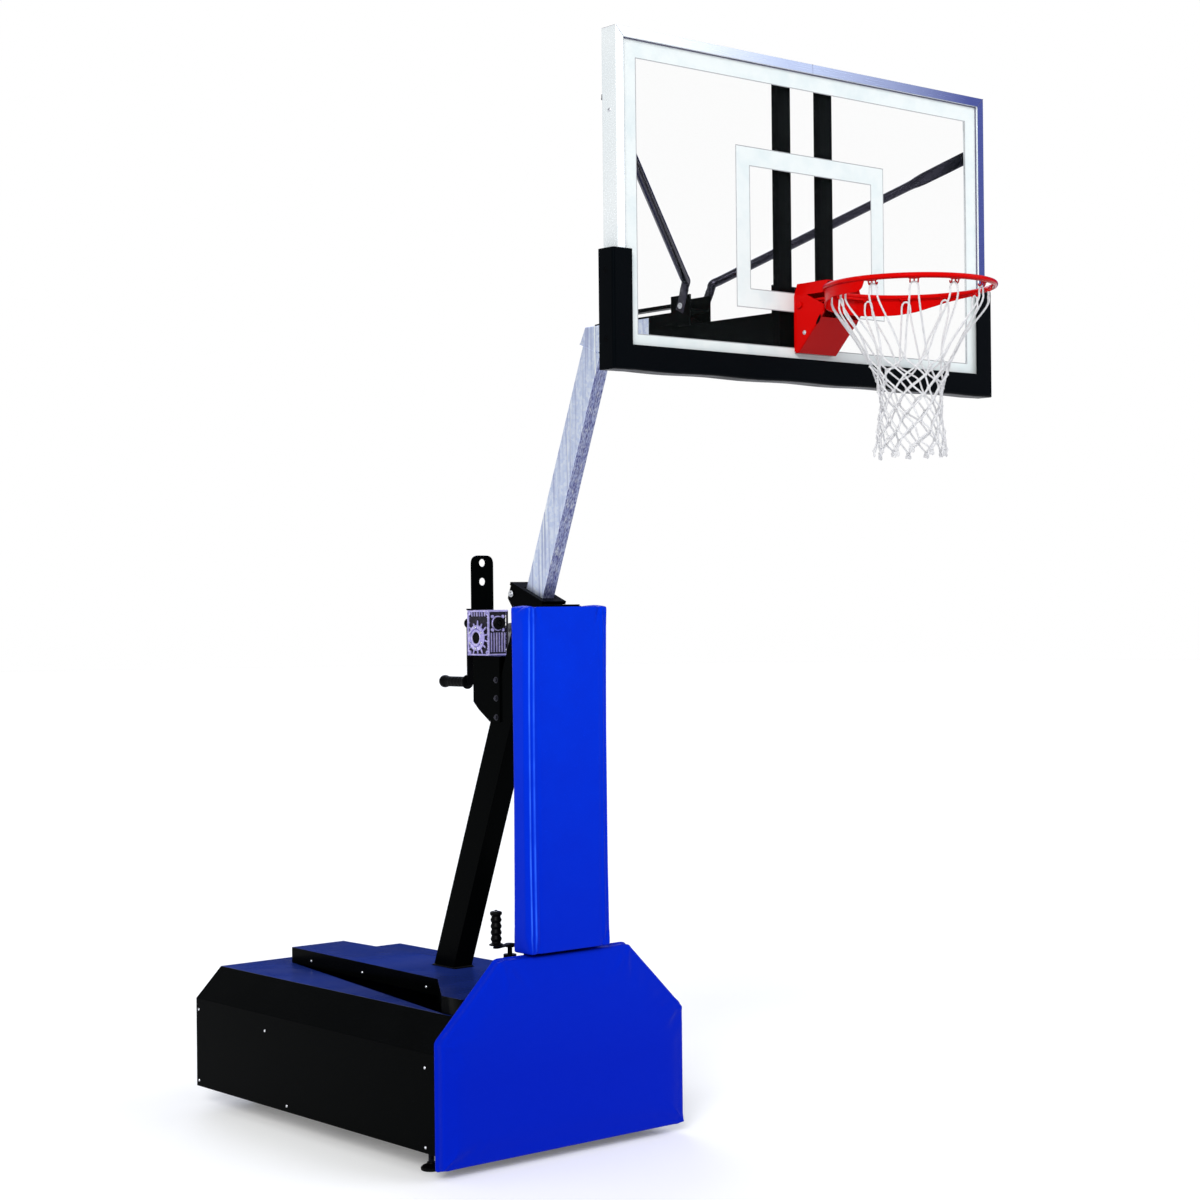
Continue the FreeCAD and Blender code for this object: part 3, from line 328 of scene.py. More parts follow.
def metals(looks):
    """Galvanised, plated, cast, machined and anodised metal, and the wire rope."""
    lean = (-MAST_LEAN, 0, 0)
    looks["zinc"] = zinc = Look("galvanised", (0.58, 0.66, 0.86), 0.30, metallic=0.82)
    zinc.tint(zinc.span(zinc.grains(95, lean), 0.25, 0.85), (0.70, 0.76, 0.88))
    # long streaks along the tube: flow lines of the zinc, with lavender and pale tones that are painted reflections
    zinc.tint(zinc.span(zinc.noise(9, 3, (9, 9, 0.25), lean), 0.48, 0.62, 0, 0.8), (0.36, 0.40, 0.62))
    zinc.tint(zinc.span(zinc.noise(12, 4, (7, 7, 0.18), lean), 0.56, 0.68, 0, 0.9), (0.92, 0.97, 0.95))
    zinc.roughen(zinc.grains(95, lean), 0, 1, 0.30, 0.46)
    # painted reflection: faces toward the court turn dark blue in streaks, the dark side of the studio mirrored in
    # them
    shade = zinc.span(zinc.noise(26, 4, (9, 9, 0.5), lean), 0.3, 0.6, 1, 0.55)
    zinc.tint(zinc.times(zinc.looking("Y", -0.55, -0.8), shade), (0.035, 0.035, 0.16))
    zinc.bump(zinc.noise(190, 4, (3, 3, 0.6), lean), 0.0003)

    looks["bright"] = Look("bright_zinc", (0.62, 0.63, 0.66), 0.26, metallic=0.95)
    looks["bright"].wear(300, 3, 0.2, 0.36).relief(900, 2, 0.00004)
    looks["dull"] = Look("dark_zinc", (0.02, 0.02, 0.03), 0.3, metallic=0.7)
    looks["dull"].wear(300, 3, 0.22, 0.4).relief(900, 2, 0.00004)
    # two copies of the cast alloy: a pale lavender one with painted highlights for the raised parts, and a near-black
    # one with painted shade for the case's body
    looks["cast"] = Look("cast_alloy", (0.36, 0.33, 0.66), 0.38, metallic=0.5)
    looks["cast"].mottle(70, 5, 0.45, 0.68, (0.60, 0.55, 0.86)).relief(650, 3, 0.00035)
    looks["cast_painted_shade"] = Look("cast_shaded_copy", (0.010, 0.009, 0.014), 0.55, spec=0.15)
    looks["cast_painted_shade"].mottle(90, 5, 0.5, 0.7, (0.03, 0.026, 0.045)).relief(650, 3, 0.00035)
    looks["steel"] = steel = Look("machined_steel", (0.16, 0.16, 0.18), 0.34, metallic=0.95)
    steel.wear(60, 4, 0.26, 0.46, (8, 1, 1)).bump(steel.waves(700, (1, 0, 0)), 0.00003)
    looks["rope"] = rope = Look("wire_rope", (0.30, 0.30, 0.31), 0.4, metallic=0.9)
    strands = rope.waves(260, (1, 1, 1.6))
    # painted shade: darker in the grooves between the strands
    rope.tint(rope.span(strands, 0.15, 0.4, 1, 0), (0.04, 0.04, 0.045)).bump(strands, 0.0004)
    looks["bronze"] = Look("bronze", (0.55, 0.34, 0.13), 0.34, metallic=0.95)
    looks["bronze"].mottle(60, 4, 0.45, 0.7, (0.40, 0.22, 0.08)).relief(500, 3, 0.00006)

    looks["anodised"] = satin = Look("anodised", (0.90, 0.93, 0.93), 0.24, metallic=0.5, spec=0.2)
    satin.mottle(3, 3, 0.35, 0.7, (0.76, 0.82, 0.84), 0.8)
    # painted reflection: faces toward the court darken from white at the left to blue-grey, then navy at the right
    front = satin.looking("Y", -0.5, -0.9)
    satin.tint(satin.times(front, satin.along("X", -0.75, -0.1)), (0.40, 0.46, 0.62))
    satin.tint(satin.times(front, satin.along("X", 0.0, 0.7)), (0.045, 0.06, 0.22))
    satin.wear(10, 3, 0.18, 0.30, (1, 40, 40)).bump(satin.noise(700, 2, (0.05, 1, 1)), 0.00005)


def other_stuffs(looks):
    """Concrete, plastics, rubber, black for small parts and the painted shade of slots, glass, cord and the floor."""
    looks["concrete"] = concrete = Look("concrete", (0.42, 0.41, 0.39), 0.9)
    concrete.mottle(14, 8, 0.35, 0.7, (0.30, 0.29, 0.28))
    concrete.tint(concrete.span(concrete.grains(220), 0.8, 0.95), (0.52, 0.5, 0.46)).relief(160, 6, 0.0008)
    looks["nylon"] = Look("nylon", (0.78, 0.76, 0.69), 0.5, spec=0.4)
    looks["nylon"].mottle(35, 4, 0.45, 0.7, (0.68, 0.65, 0.56)).relief(400, 3, 0.0001)
    looks["rubber"] = Look("grip_rubber", (0.001, 0.001, 0.0012), 0.40, spec=0.05)
    looks["rubber"].wear(60, 4, 0.32, 0.52).relief(900, 2, 0.0001)
    looks["tyre"] = Look("tyre", (0.024, 0.024, 0.025), 0.75)
    looks["tyre"].mottle(45, 5, 0.5, 0.72, (0.07, 0.068, 0.064)).relief(500, 4, 0.0003)
    looks["seam"] = Look("joint_line", (0.10, 0.09, 0.17), 0.6).mottle(80, 3, 0, 1, (0.05, 0.05, 0.09))
    # black for small parts, and painted shade for the bracket's slots
    looks["dark"] = Look("black_and_slot_shade", (0.001, 0.001, 0.0012), 0.6, spec=0.02).relief(200, 2, 0.0002)
    looks["glass"] = pane = Look("glass", (0.05, 0.07, 0.065), 0.03, spec=0.4, alpha=0.018)
    pane.roughen(pane.noise(4, 3), 0.3, 0.8, 0.02, 0.06)
    looks["cord"] = cord = Look("net_cord", (0.86, 0.86, 0.86), 0.75, sheen=0.2)
    plies = cord.waves(900)
    cord.mottle(40, 4, 0.5, 0.75, (0.72, 0.72, 0.73))
    # painted shade: darker in the grooves between the plies
    cord.tint(cord.span(plies, 0.10, 0.35, 0.8, 0), (0.40, 0.40, 0.44)).bump(plies, 0.0003)
    looks["floor"] = Look("pale_floor", (0.88, 0.88, 0.87), 0.7, spec=0.1, glow=0.14)
    looks["floor"].mottle(0.8, 4, 0.4, 0.7, (0.87, 0.87, 0.86)).relief(90, 3, 0.0002)


def make_looks():
    looks = {}
    for family in (paints, vinyls, metals, other_stuffs):
        family(looks)
    return looks


looks = make_looks()


# ---------------------------------------------------------------- forms

def facing(origin, out, up=None):
    """A matrix that stands a form's +Z along out, with its +Y near up."""
    out = Vector(out).normalized()
    up = Vector(up) if up else (Z if abs(out.z) < 0.9 else Y)
    side = up.cross(out).normalized()
    over = out.cross(side)
    turn = Matrix((side, over, out)).transposed().to_4x4()
    return Matrix.Translation(Vector(origin)) @ turn


def smooth_path(points, steps=6, closed=False):
    """A Catmull-Rom line through the points."""
    pts = [Vector(p) for p in points]
    count = len(pts)
    line = []
    for i in range(count if closed else count - 1):
        if closed:
            a, b, c, d = (pts[(i + k) % count] for k in (-1, 0, 1, 2))
        else:
            a, b, c, d = pts[max(i - 1, 0)], pts[i], pts[i + 1], pts[min(i + 2, count - 1)]
        for s in range(steps):
            t = s / steps
            line.append(0.5 * ((2 * b) + (c - a) * t + (2 * a - 5 * b + 4 * c - d) * t * t
                               + (3 * b - a - 3 * c + d) * t ** 3))
    if not closed:
        line.append(pts[-1])
    return line


class Form:
    """Vertices and faces that grow shape by shape and then become one piece."""

    def __init__(self):
        self.points, self.faces = [], []

    def add(self, points, faces, at=None):
        base = len(self.points)
        self.points += [at @ Vector(p) if at else Vector(p) for p in points]
        self.faces += [[base + i for i in face] for face in faces]
        return self

    def take(self, bm, at=None):
        bm.verts.index_update()
        self.add([v.co.copy() for v in bm.verts], [[v.index for v in f.verts] for f in bm.faces], at)
        bm.free()
        return self

    def loft(self, rings, closed=False, capped=True):
        """Join rings of points, each with the same count."""
        sides = len(rings[0])
        points = [p for ring in rings for p in ring]
        faces = []
        for i in range(len(rings) if closed else len(rings) - 1):
            a, b = i * sides, ((i + 1) % len(rings)) * sides
            for k in range(sides):
                n = (k + 1) % sides
                faces.append((a + k, a + n, b + n, b + k))
        if capped and not closed:
            faces.append(tuple(range(sides - 1, -1, -1)))
            faces.append(tuple(range((len(rings) - 1) * sides, len(rings) * sides)))
        return self.add(points, faces)

    def tube(self, path, radius, sides=12, closed=False, flat=None, hint=None):
        """Sweep a round or flattened section. radius and flat may be one number or one for each point."""
        path = [Vector(p) for p in path]
        count = len(path)
        wide = radius if isinstance(radius, (list, tuple)) else [radius] * count
        thin = flat if isinstance(flat, (list, tuple)) else [flat or w for w in wide]
        rings = []
        side = None
        for i, p in enumerate(path):
            before = path[i - 1] if i or closed else p
            after = path[(i + 1) % count] if i < count - 1 or closed else p
            along = (after - before).normalized()
            if side is None:
                side = Vector(hint) if hint else (X if abs(along.x) < 0.9 else Y)
            side = (side - along * side.dot(along)).normalized()
            over = along.cross(side)
            rings.append([p + side * wide[i] * math.cos(TURN * k / sides)
                          + over * thin[i] * math.sin(TURN * k / sides) for k in range(sides)])
        return self.loft(rings, closed)

    def turn(self, profile, at=None, sides=40):
        """Revolve (radius, height) points about the form's Z axis."""
        bm = bmesh.new()
        rings = []
        for radius, height in profile:
            count = sides if radius > 1e-7 else 1
            rings.append([bm.verts.new((*polar(radius, TURN * k / sides), height)) for k in range(count)])
        for low, high in zip(rings, rings[1:]):
            for k in range(sides):
                n = (k + 1) % sides
                corners = [low[k % len(low)], low[n % len(low)], high[n % len(high)], high[k % len(high)]]
                kept = [v for i, v in enumerate(corners) if v not in corners[:i]]
                if len(kept) > 2:
                    bm.faces.new(kept)
        bmesh.ops.recalc_face_normals(bm, faces=bm.faces[:])
        return self.take(bm, at)

    def prism(self, outline, depth, at=None, bevel=0.0, segments=2):
        """Raise a flat outline along +Z and round its edges."""
        bm = bmesh.new()
        face = bm.faces.new([bm.verts.new((u, v, 0)) for u, v in outline])
        grown = bmesh.ops.extrude_face_region(bm, geom=[face])["geom"]
        bmesh.ops.translate(bm, verts=[g for g in grown if isinstance(g, bmesh.types.BMVert)], vec=(0, 0, depth))
        bmesh.ops.recalc_face_normals(bm, faces=bm.faces[:])
        if bevel:
            bmesh.ops.bevel(bm, geom=bm.edges[:], offset=bevel, segments=segments, profile=0.5,
                            affect="EDGES", clamp_overlap=True)
        return self.take(bm, at)

    def block(self, low, high, bevel=0.001, segments=2):
        """A rounded block between two corners."""
        outline = ((low[0], low[1]), (high[0], low[1]), (high[0], high[1]), (low[0], high[1]))
        return self.prism(outline, high[2] - low[2], Matrix.Translation((0, 0, low[2])), bevel, segments)

    def bolt(self, at, radius, height, washer=True):
        """Hexagon head on a washer; at stands on the surface with +Z outward."""
        base = 0.0
        if washer:
            base = radius * 0.22
            self.turn(((0, 0), (radius * 1.45, 0), (radius * 1.45, base * 0.7), (radius * 1.35, base), (0, base)),
                      at, 28)
        hexagon = [polar(radius, math.pi * k / 3) for k in range(6)]
        self.prism(hexagon, height - base, at @ Matrix.Translation((0, 0, base)), radius * 0.09, 2)
        return self.turn(((0, height), (radius * 0.5, height), (radius * 0.46, height + radius * 0.05),
                          (0, height + radius * 0.05)), at, 24)

    def button(self, at, radius, height):
        """Domed screw head with a socket."""
        return self.turn(((0, height * 0.35), (radius * 0.32, height * 0.35), (radius * 0.36, height * 0.96),
                          (radius * 0.6, height * 0.9), (radius * 0.86, height * 0.6), (radius, height * 0.15),
                          (radius, 0), (0, 0)), at, 24)

    def piece(self, name, look, body, slot, replaces=(), sharp=32, weighted=True):
        return finish_piece(self.mesh(name), name, look, body, replaces, sharp, weighted)

    def mesh(self, name):
        mesh = bpy.data.meshes.new(name)
        mesh.from_pydata([tuple(p) for p in self.points], [], self.faces)
        mesh.update()
        return mesh


def in_scene(name, data):
    """A new object that shows the data."""
    holder = bpy.data.objects.new(name, data)
    scene.collection.objects.link(holder)
    return holder


def finish_piece(mesh, name, look, body, replaces=(), sharp=32, weighted=True):
    """Give a mesh its material, shading and body, and say which CAD nodes it replaces."""
    coat(mesh, look)
    mesh.set_sharp_from_angle(angle=math.radians(sharp))
    piece = in_scene(name, mesh)
    if weighted:
        piece.modifiers.new("even_shading", "WEIGHTED_NORMAL").keep_sharp = True
    if body:
        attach(piece, body)
    if replaces:
        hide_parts(*replaces)
    return piece


def plate_mesh(outline, holes, thick, bevel):
    """A flat plate with round holes and rounded edges, on Z from 0 to thick."""
    curve = bpy.data.curves.new("outline", "CURVE")
    curve.dimensions = "2D"
    curve.fill_mode = "BOTH"
    curve.extrude = thick / 2 - bevel
    curve.bevel_depth = bevel
    curve.bevel_resolution = 1
    loops = [outline]
    for u, v, radius in holes:
        rim_points = (polar(radius, TURN * k / 32) for k in range(32))
        loops.append([(u + across, v + up) for across, up in rim_points])
    for loop in loops:
        spline = curve.splines.new("POLY")
        spline.points.add(len(loop) - 1)
        for point, (u, v) in zip(spline.points, loop):
            point.co = (u, v, 0, 1)
        spline.use_cyclic_u = True
    holder = in_scene("outline", curve)
    mesh = bpy.data.meshes.new_from_object(holder)
    bpy.data.objects.remove(holder)
    mesh.transform(Matrix.Translation((0, 0, thick / 2)))
    return mesh


def rounded(outline, radius, steps=5):
    """The outline with every corner rounded."""
    result = []
    count = len(outline)
    for i in range(count):
        before, here, after = (Vector(outline[(i + k) % count]) for k in (-1, 0, 1))
        reach = min(radius, (before - here).length * 0.45, (after - here).length * 0.45)
        start = here + (before - here).normalized() * reach
        end = here + (after - here).normalized() * reach
        for s in range(steps + 1):
            t = s / steps
            result.append(tuple(start * (1 - t) ** 2 + here * 2 * t * (1 - t) + end * t * t))
    return result


def parts_of(node):
    """The boxes of a CAD node's separate solids, each as its lowest and highest corner."""
    bm = bmesh.new()
    bm.from_mesh(frame["nodes"][node].data)
    bmesh.ops.remove_doubles(bm, verts=bm.verts[:], dist=0.00002)
    seen, boxes = set(), []
    for start in bm.verts:
        if start in seen:
            continue
        stack, island = [start], []
        seen.add(start)
        while stack:
            vertex = stack.pop()
            island.append(vertex.co.copy())
            for edge in vertex.link_edges:
                other = edge.other_vert(vertex)
                if other not in seen:
                    seen.add(other)
                    stack.append(other)
        boxes.append((Vector(map(min, *island)), Vector(map(max, *island))))
    bm.free()
    return boxes


def coat(mesh, look):
    """Give a mesh one of the looks and smooth shading."""
    mesh.materials.clear()
    mesh.materials.append(looks[look].material)
    mesh.polygons.foreach_set("use_smooth", [True] * len(mesh.polygons))


def dress(look, *names, bevel=0.0012, segments=2):
    """Give CAD nodes their material, rounded edges and even shading; their meshes stay as packed."""
    for name in names:
        node = frame["nodes"][name]
        if "custom_normal" in node.data.attributes:
            node.data.attributes.remove(node.data.attributes["custom_normal"])
        coat(node.data, look)
        weld = node.modifiers.new("weld", "WELD")
        weld.merge_threshold = 0.00002
        planar = node.modifiers.new("planar", "DECIMATE")
        planar.decimate_type = "DISSOLVE"
        planar.angle_limit = math.radians(1)
        if bevel:
            soften = node.modifiers.new("edges", "BEVEL")
            soften.width = bevel
            soften.segments = segments
            soften.limit_method = "ANGLE"
            soften.angle_limit = math.radians(40)
            soften.miter_outer = "MITER_ARC"
        node.modifiers.new("even_shading", "WEIGHTED_NORMAL").keep_sharp = True


# ---------------------------------------------------------------- padding

CLOTH_FRAMES = 20
CLOTH_PRESSURE = 4.0
PAD_INSET = 0.5 * MM
SHOULDER_HEIGHT, SHOULDER_HALF = 444 * MM, 277 * MM  # where the base pad's sloping corners start and end
PAD_MIDDLE = 0.4  # the height that the folds at the base pad's corners point to
LIP_EDGE = 715 * MM  # where the board guard's lip ends
FOLDS = ((4, 1.0, 2.2), (12, 1.2, -2.8), (20, 1.6, 3.2), (32, 2.0, -2.0))  # inward, wander and height in mm


def swell(name, form, voxel, cap, held):
    """Fill a closed form like a foam pad: remesh it, inflate it as cloth, and limit how far it moves.
    held(point) is True where the pad rests on something and stays flat."""
    pad = in_scene(name, form.mesh(name))
    grid = pad.modifiers.new("grid", "REMESH")
    grid.mode = "VOXEL"
    grid.voxel_size = voxel
    grid.use_smooth_shade = True
    fair = pad.modifiers.new("fair", "SMOOTH")
    fair.factor = 0.5
    fair.iterations = 2
    apply_modifiers(pad)
    rest = positions(pad.data)
    group = pad.vertex_groups.new(name="held")
    group.add([i for i, p in enumerate(rest) if held(p)], 1.0, "REPLACE")
    cloth = pad.modifiers.new("cloth", "CLOTH")
    settings = cloth.settings
    settings.quality = 5
    settings.mass = 0.3
    settings.tension_stiffness = 20
    settings.compression_stiffness = 20
    settings.shear_stiffness = 8
    settings.bending_stiffness = 2
    settings.use_pressure = True
    settings.uniform_pressure_force = CLOTH_PRESSURE
    settings.effector_weights.gravity = 0
    settings.vertex_group_mass = "held"
    cloth.point_cache.frame_start = 1
    cloth.point_cache.frame_end = CLOTH_FRAMES
    for number in range(1, CLOTH_FRAMES + 1):
        scene.frame_set(number)
        bpy.context.view_layer.update()
    apply_modifiers(pad)
    moved = positions(pad.data) - rest
    length = np.linalg.norm(moved, axis=1, keepdims=True)
    moved *= np.minimum(1.0, cap / np.maximum(length, 1e-9))
    put_positions(pad.data, rest + moved)
    scene.frame_set(1)
    return pad


def apply_modifiers(piece):
    graph = bpy.context.evaluated_depsgraph_get()
    mesh = bpy.data.meshes.new_from_object(piece.evaluated_get(graph))
    piece.modifiers.clear()
    piece.data = mesh


def positions(mesh, what="co"):
    values = np.zeros(len(mesh.vertices) * 3)
    mesh.vertices.foreach_get(what, values)
    return values.reshape(-1, 3)


def put_positions(mesh, values):
    mesh.vertices.foreach_set("co", values.astype(np.float32).ravel())
    mesh.update()


def crease(piece, line, width, height):
    """Raise a soft ridge, or press a fold with a height below 0, along a line on the skin."""
    flatten = np.array((1, 0.2, 1))  # the skin has swollen away from the line, mostly along Y
    points = positions(piece.data)
    closest = np.full(len(points), 1e9)
    for a, b in zip(line, line[1:]):
        a, b = np.array(a), np.array(b)
        run = b - a
        t = np.clip((points - a) @ run / (run @ run), 0, 1)
        closest = np.minimum(closest, np.linalg.norm((points - (a + t[:, None] * run)) * flatten, axis=1))
    share = np.exp(-(closest / width) ** 2)
    outward = positions(piece.data, "normal")
    put_positions(piece.data, points + outward * (share * height)[:, None])


def cover_pad(pad, look, node):
    """Make a swollen pad into the piece that stands for its CAD solid."""
    coat(pad.data, look)
    finer = pad.modifiers.new("finer", "SUBSURF")
    finer.levels = finer.render_levels = 1
    apply_modifiers(pad)
    pad.name = node + "_cover"
    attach(pad, "root")
    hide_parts(node)


def column_pad():
    """Three-sided pad round the column, with the vinyl's folds at its front corners."""
    low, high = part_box("column_pad")
    inset = PAD_INSET
    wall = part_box("column_channel")[0].x - 6 * MM
    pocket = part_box("column_channel")[0].y
    outline = [(low.x + inset, high.y - inset), (low.x + inset, low.y + inset), (high.x - inset, low.y + inset),
               (high.x - inset, high.y - inset), (-wall + inset, high.y - inset), (-wall + inset, pocket - inset),
               (wall - inset, pocket - inset), (wall - inset, high.y - inset)]
    form = Form().prism(outline, high.z - low.z - 2 * inset, Matrix.Translation((0, 0, low.z + inset)),
                        5 * MM, 2)
    pad = swell("column_pad_cover", form, 6 * MM, 7 * MM,
                lambda p: p[1] > pocket - 8 * MM and abs(p[0]) < abs(wall) + 6 * MM)
    span = np.linspace(0, 1, 14)
    for side in (-1, 1):
        corner = side * (high.x - 4 * MM)
        for inward, wander, height in FOLDS:
            line = [(corner - side * (inward + wander * math.sin(5 * t + inward)) * MM, low.y,
                     low.z + 12 * MM + t * (high.z - low.z - 26 * MM)) for t in span]
            crease(pad, line, 5 * MM, height * MM)
        for reach, height in ((34, -4.0), (60, -2.0)):
            start = corner - side * 30 * MM
            upper = (corner - side * (30 + reach * 0.3) * MM, low.y, high.z - reach * MM)
            lower = (corner - side * (30 - reach * 0.2) * MM, low.y, low.z + reach * 0.8 * MM)
            crease(pad, [(start, low.y, high.z), upper], 5 * MM, height * MM)
            crease(pad, [(start, low.y, low.z), lower], 5 * MM, height * 0.7 * MM)
    cover_pad(pad, "vinyl", "column_pad")


def base_pad():
    """Eight-sided pad in front of the base."""
    low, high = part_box("base_pad")
    inset = PAD_INSET
    half = high.x - inset
    outline = [(-half, low.z + inset), (half, low.z + inset), (half, SHOULDER_HEIGHT),
               (SHOULDER_HALF, high.z - inset), (-SHOULDER_HALF, high.z - inset), (-half, SHOULDER_HEIGHT)]
    at = Matrix.Translation((0, high.y - inset, 0)) @ Matrix.Rotation(math.pi / 2, 4, "X")
    form = Form().prism(outline, high.y - low.y - 2 * inset, at, 7 * MM, 3)
    pad = swell("base_pad_cover", form, 8 * MM, 7 * MM, lambda p: p[1] > high.y - 14 * MM)
    corners = ((half, low.z), (half, SHOULDER_HEIGHT), (SHOULDER_HALF, high.z))
    for x, z in [(side * x, z) for side in (-1, 1) for x, z in corners]:
        toward = Vector((-x, PAD_MIDDLE - z)).normalized()
        for bend, reach, height in ((0.0, 46, -3.2), (0.5, 34, 2.0), (-0.5, 34, 2.0)):
            aim = Matrix.Rotation(bend, 2) @ toward * reach * MM
            line = [(x, high.y - 10 * MM, z), (x, low.y, z), (x + aim.x, low.y, z + aim.y)]
            crease(pad, line, 7 * MM, height * MM)
    cover_pad(pad, "vinyl", "base_pad")


def edge_guard():
    """Moulded foam guard round the lower edge of the board: a side wall and a lip over the frame's face."""
    low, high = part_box("edge_pad")
    board_low, board_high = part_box("board_frame")
    gap = 0.4 * MM
    side = high.x - board_high.x
    lip = board_high.x - LIP_EDGE
    deep = high.y - low.y
    skin = board_low.y - low.y
    section = rounded([(gap, 0), (side, 0), (side, deep), (-lip, deep), (-lip, deep - skin + gap),
                       (gap, deep - skin + gap)], 9 * MM, 4)
    # down one side, along the bottom and up the other; a mitre station turns each corner
    left = [(-board_high.x, z, -1, 0) for z in np.linspace(high.z - 2 * MM, board_low.z + 62 * MM, 9)]
    corner = [(-board_high.x, board_low.z, -1, -1)]
    bottom = [(x, board_low.z, 0, -1) for x in np.linspace(-board_high.x + 62 * MM, board_high.x - 62 * MM, 40)]
    half = left + corner
    path = half + bottom + [(-x, z, -out_x, out_z) for x, z, out_x, out_z in reversed(half)]
    rings = []
    for x, z, out_x, out_z in path:
        sag = 0 if out_x else 1.4 * MM * math.sin(x * 19)
        rings.append([(x + out_x * u, high.y - v, z + out_z * u - (sag if u > 0 else 0)) for u, v in section])
    form = Form().loft(rings)
    guard = form.piece("edge_guard", "guard", "carriage", "black_vinyl", ["edge_pad"], 40)
    screws = Form()
    for sign in (-1, 1):
        for z in (high.z - 62 * MM, high.z - 250 * MM):
            y = high.y - 34 * MM
            screws.button(facing((sign * (high.x - 1.5 * MM), y, z), X * sign), 6 * MM, 2 * MM)
            screws.tube([Vector((sign * (high.x - 0.4 * MM), y + 8 * MM * math.cos(a), z + 8 * MM * math.sin(a)))
                         for a in np.linspace(0, TURN, 24, False)], 0.9 * MM, 6, True)
    screws.piece("guard_screws", "dark", "carriage", "black_enamel")


# ---------------------------------------------------------------- base details

def base_details():
    """Screw heads, levelling feet on threaded stems, and the wheels."""
    screws = Form()
    for low, high in parts_of("cover_screws"):
        size = high - low
        centre = (low + high) / 2
        axis = 0 if size.x < size.y else 1
        out = Vector((0, 0, 0))
        out[axis] = 1.0 if centre[axis] > 0 else -1.0
        seat = centre - out * size[axis] / 2
        screws.button(facing(seat, out), size.z * 0.42, 2.8 * MM)
    screws.piece("cover_screws_fine", "bright", "root", "zinc_fasteners", ["cover_screws"])

    feet, stems = Form(), Form()
    for low, high in parts_of("levelling_feet"):
        centre = (low + high) / 2
        radius = (high.x - low.x) / 2
        at = Matrix.Translation((centre.x, centre.y, 0))
        feet.turn(((0, 0), (radius - 2 * MM, 0), (radius, 2 * MM), (radius, 9 * MM), (radius - 5 * MM, 15 * MM),
                   (20 * MM, 19 * MM), (15 * MM, 22 * MM), (14 * MM, 26 * MM), (0, 26 * MM)), at, 48)
        for k in range(18):
            angle = TURN * k / 18
            spot = Vector((centre.x, centre.y, 4 * MM)) + Vector((*polar(radius - 3 * MM, angle), 0))
            rib = rounded(mm((-1.6, 0), (1.6, 0), (1.6, 7), (-1.6, 7)), 1 * MM, 2)
            feet.prism(rib, 3.4 * MM, facing(spot, (*polar(1, angle), 0)))
        thread = [(0, 28 * MM)]
        z = 28 * MM
        while z < high.z - 2 * MM:
            thread += [(10 * MM, z + 0.3 * MM), (9 * MM, z + 1.6 * MM)]
            z += 2.6 * MM
        thread += [(10 * MM, high.z), (0, high.z)]
        stems.turn(thread, at, 24)
        stems.bolt(Matrix.Translation((centre.x, centre.y, high.z - 22 * MM)), 15 * MM, 12 * MM, False)
    feet.piece("foot_discs", "rubber", "root", "black_grip", ["levelling_feet"])
    stems.piece("foot_stems", "dull", "root", "zinc_fasteners")

    for name, body in (("rear_wheel_left", "rear_wheel_l"), ("rear_wheel_right", "rear_wheel_r"),
                       ("jack_wheel", "jack_roller")):
        wheel(name, body)


def mirrored(profile):
    return [(radius, -height) for radius, height in reversed(profile)]


def wheel(name, body):
    """Solid tyre with tread grooves on a dished hub."""
    low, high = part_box(name)
    centre = (low + high) / 2
    radius, half = (high.z - low.z) / 2, (high.x - low.x) / 2
    at = facing(centre, X)
    hub = radius * 0.62
    tyre = Form()
    wall = [(hub, -half + 2 * MM), (hub + 3 * MM, -half + 1 * MM), (radius - 6 * MM, -half + 0.5 * MM),
            (radius - 1.5 * MM, -half + 6 * MM)]
    grooves = []
    for z in np.linspace(-half + 9 * MM, half - 9 * MM, 4):
        grooves += [(radius, z - 1.8 * MM), (radius, z + 1.8 * MM), (radius - 1.4 * MM, z + 2.4 * MM)]
    tyre.turn(wall + grooves + mirrored(wall), at, 56)
    tyre.piece(name + "_tyre", "tyre", body, "wheel_rubber", [name])
    core = Form()
    bore = 8.6 * MM if name != "jack_wheel" else 6.6 * MM
    dish = [(bore, -half), (bore + 8 * MM, -half), (bore + 9 * MM, -half + 6 * MM),
            (hub - 4 * MM, -half + 8 * MM), (hub, -half + 3 * MM)]
    core.turn(dish + [(hub + 0.4 * MM, 0)] + mirrored(dish), at, 48)
    for k in range(6):
        angle = math.pi * k / 3
        for face in (-1, 1):
            spoke = [at @ Vector((*polar(r, angle), face * (half - 6 * MM))) for r in (16 * MM, hub - 3 * MM)]
            core.tube(spoke, 2.6 * MM, 8)
    core.piece(name + "_hub", "steel", body, "machined_steel")


# ---------------------------------------------------------------- winch, jack and mast details

BOSS = Vector((0, 548 * MM, 1720 * MM))
WORM_HEIGHT = 1770 * MM
PLATE_HOLES = (1979, 1914)
PLATE_REAR, PLATE_FRONT = 576 * MM, 571 * MM
MAST_FOOT = 986.4 * MM
ROPE_BEND, ROPE_ANCHOR = 1795 * MM, 1291 * MM  # along the mast
SEAM_RUN = (2.05, 2.80)
ELBOW_REAR, ELBOW_FRONT = Vector((0, 2 * MM, 2683 * MM)), Vector((0, -84 * MM, 2648 * MM))


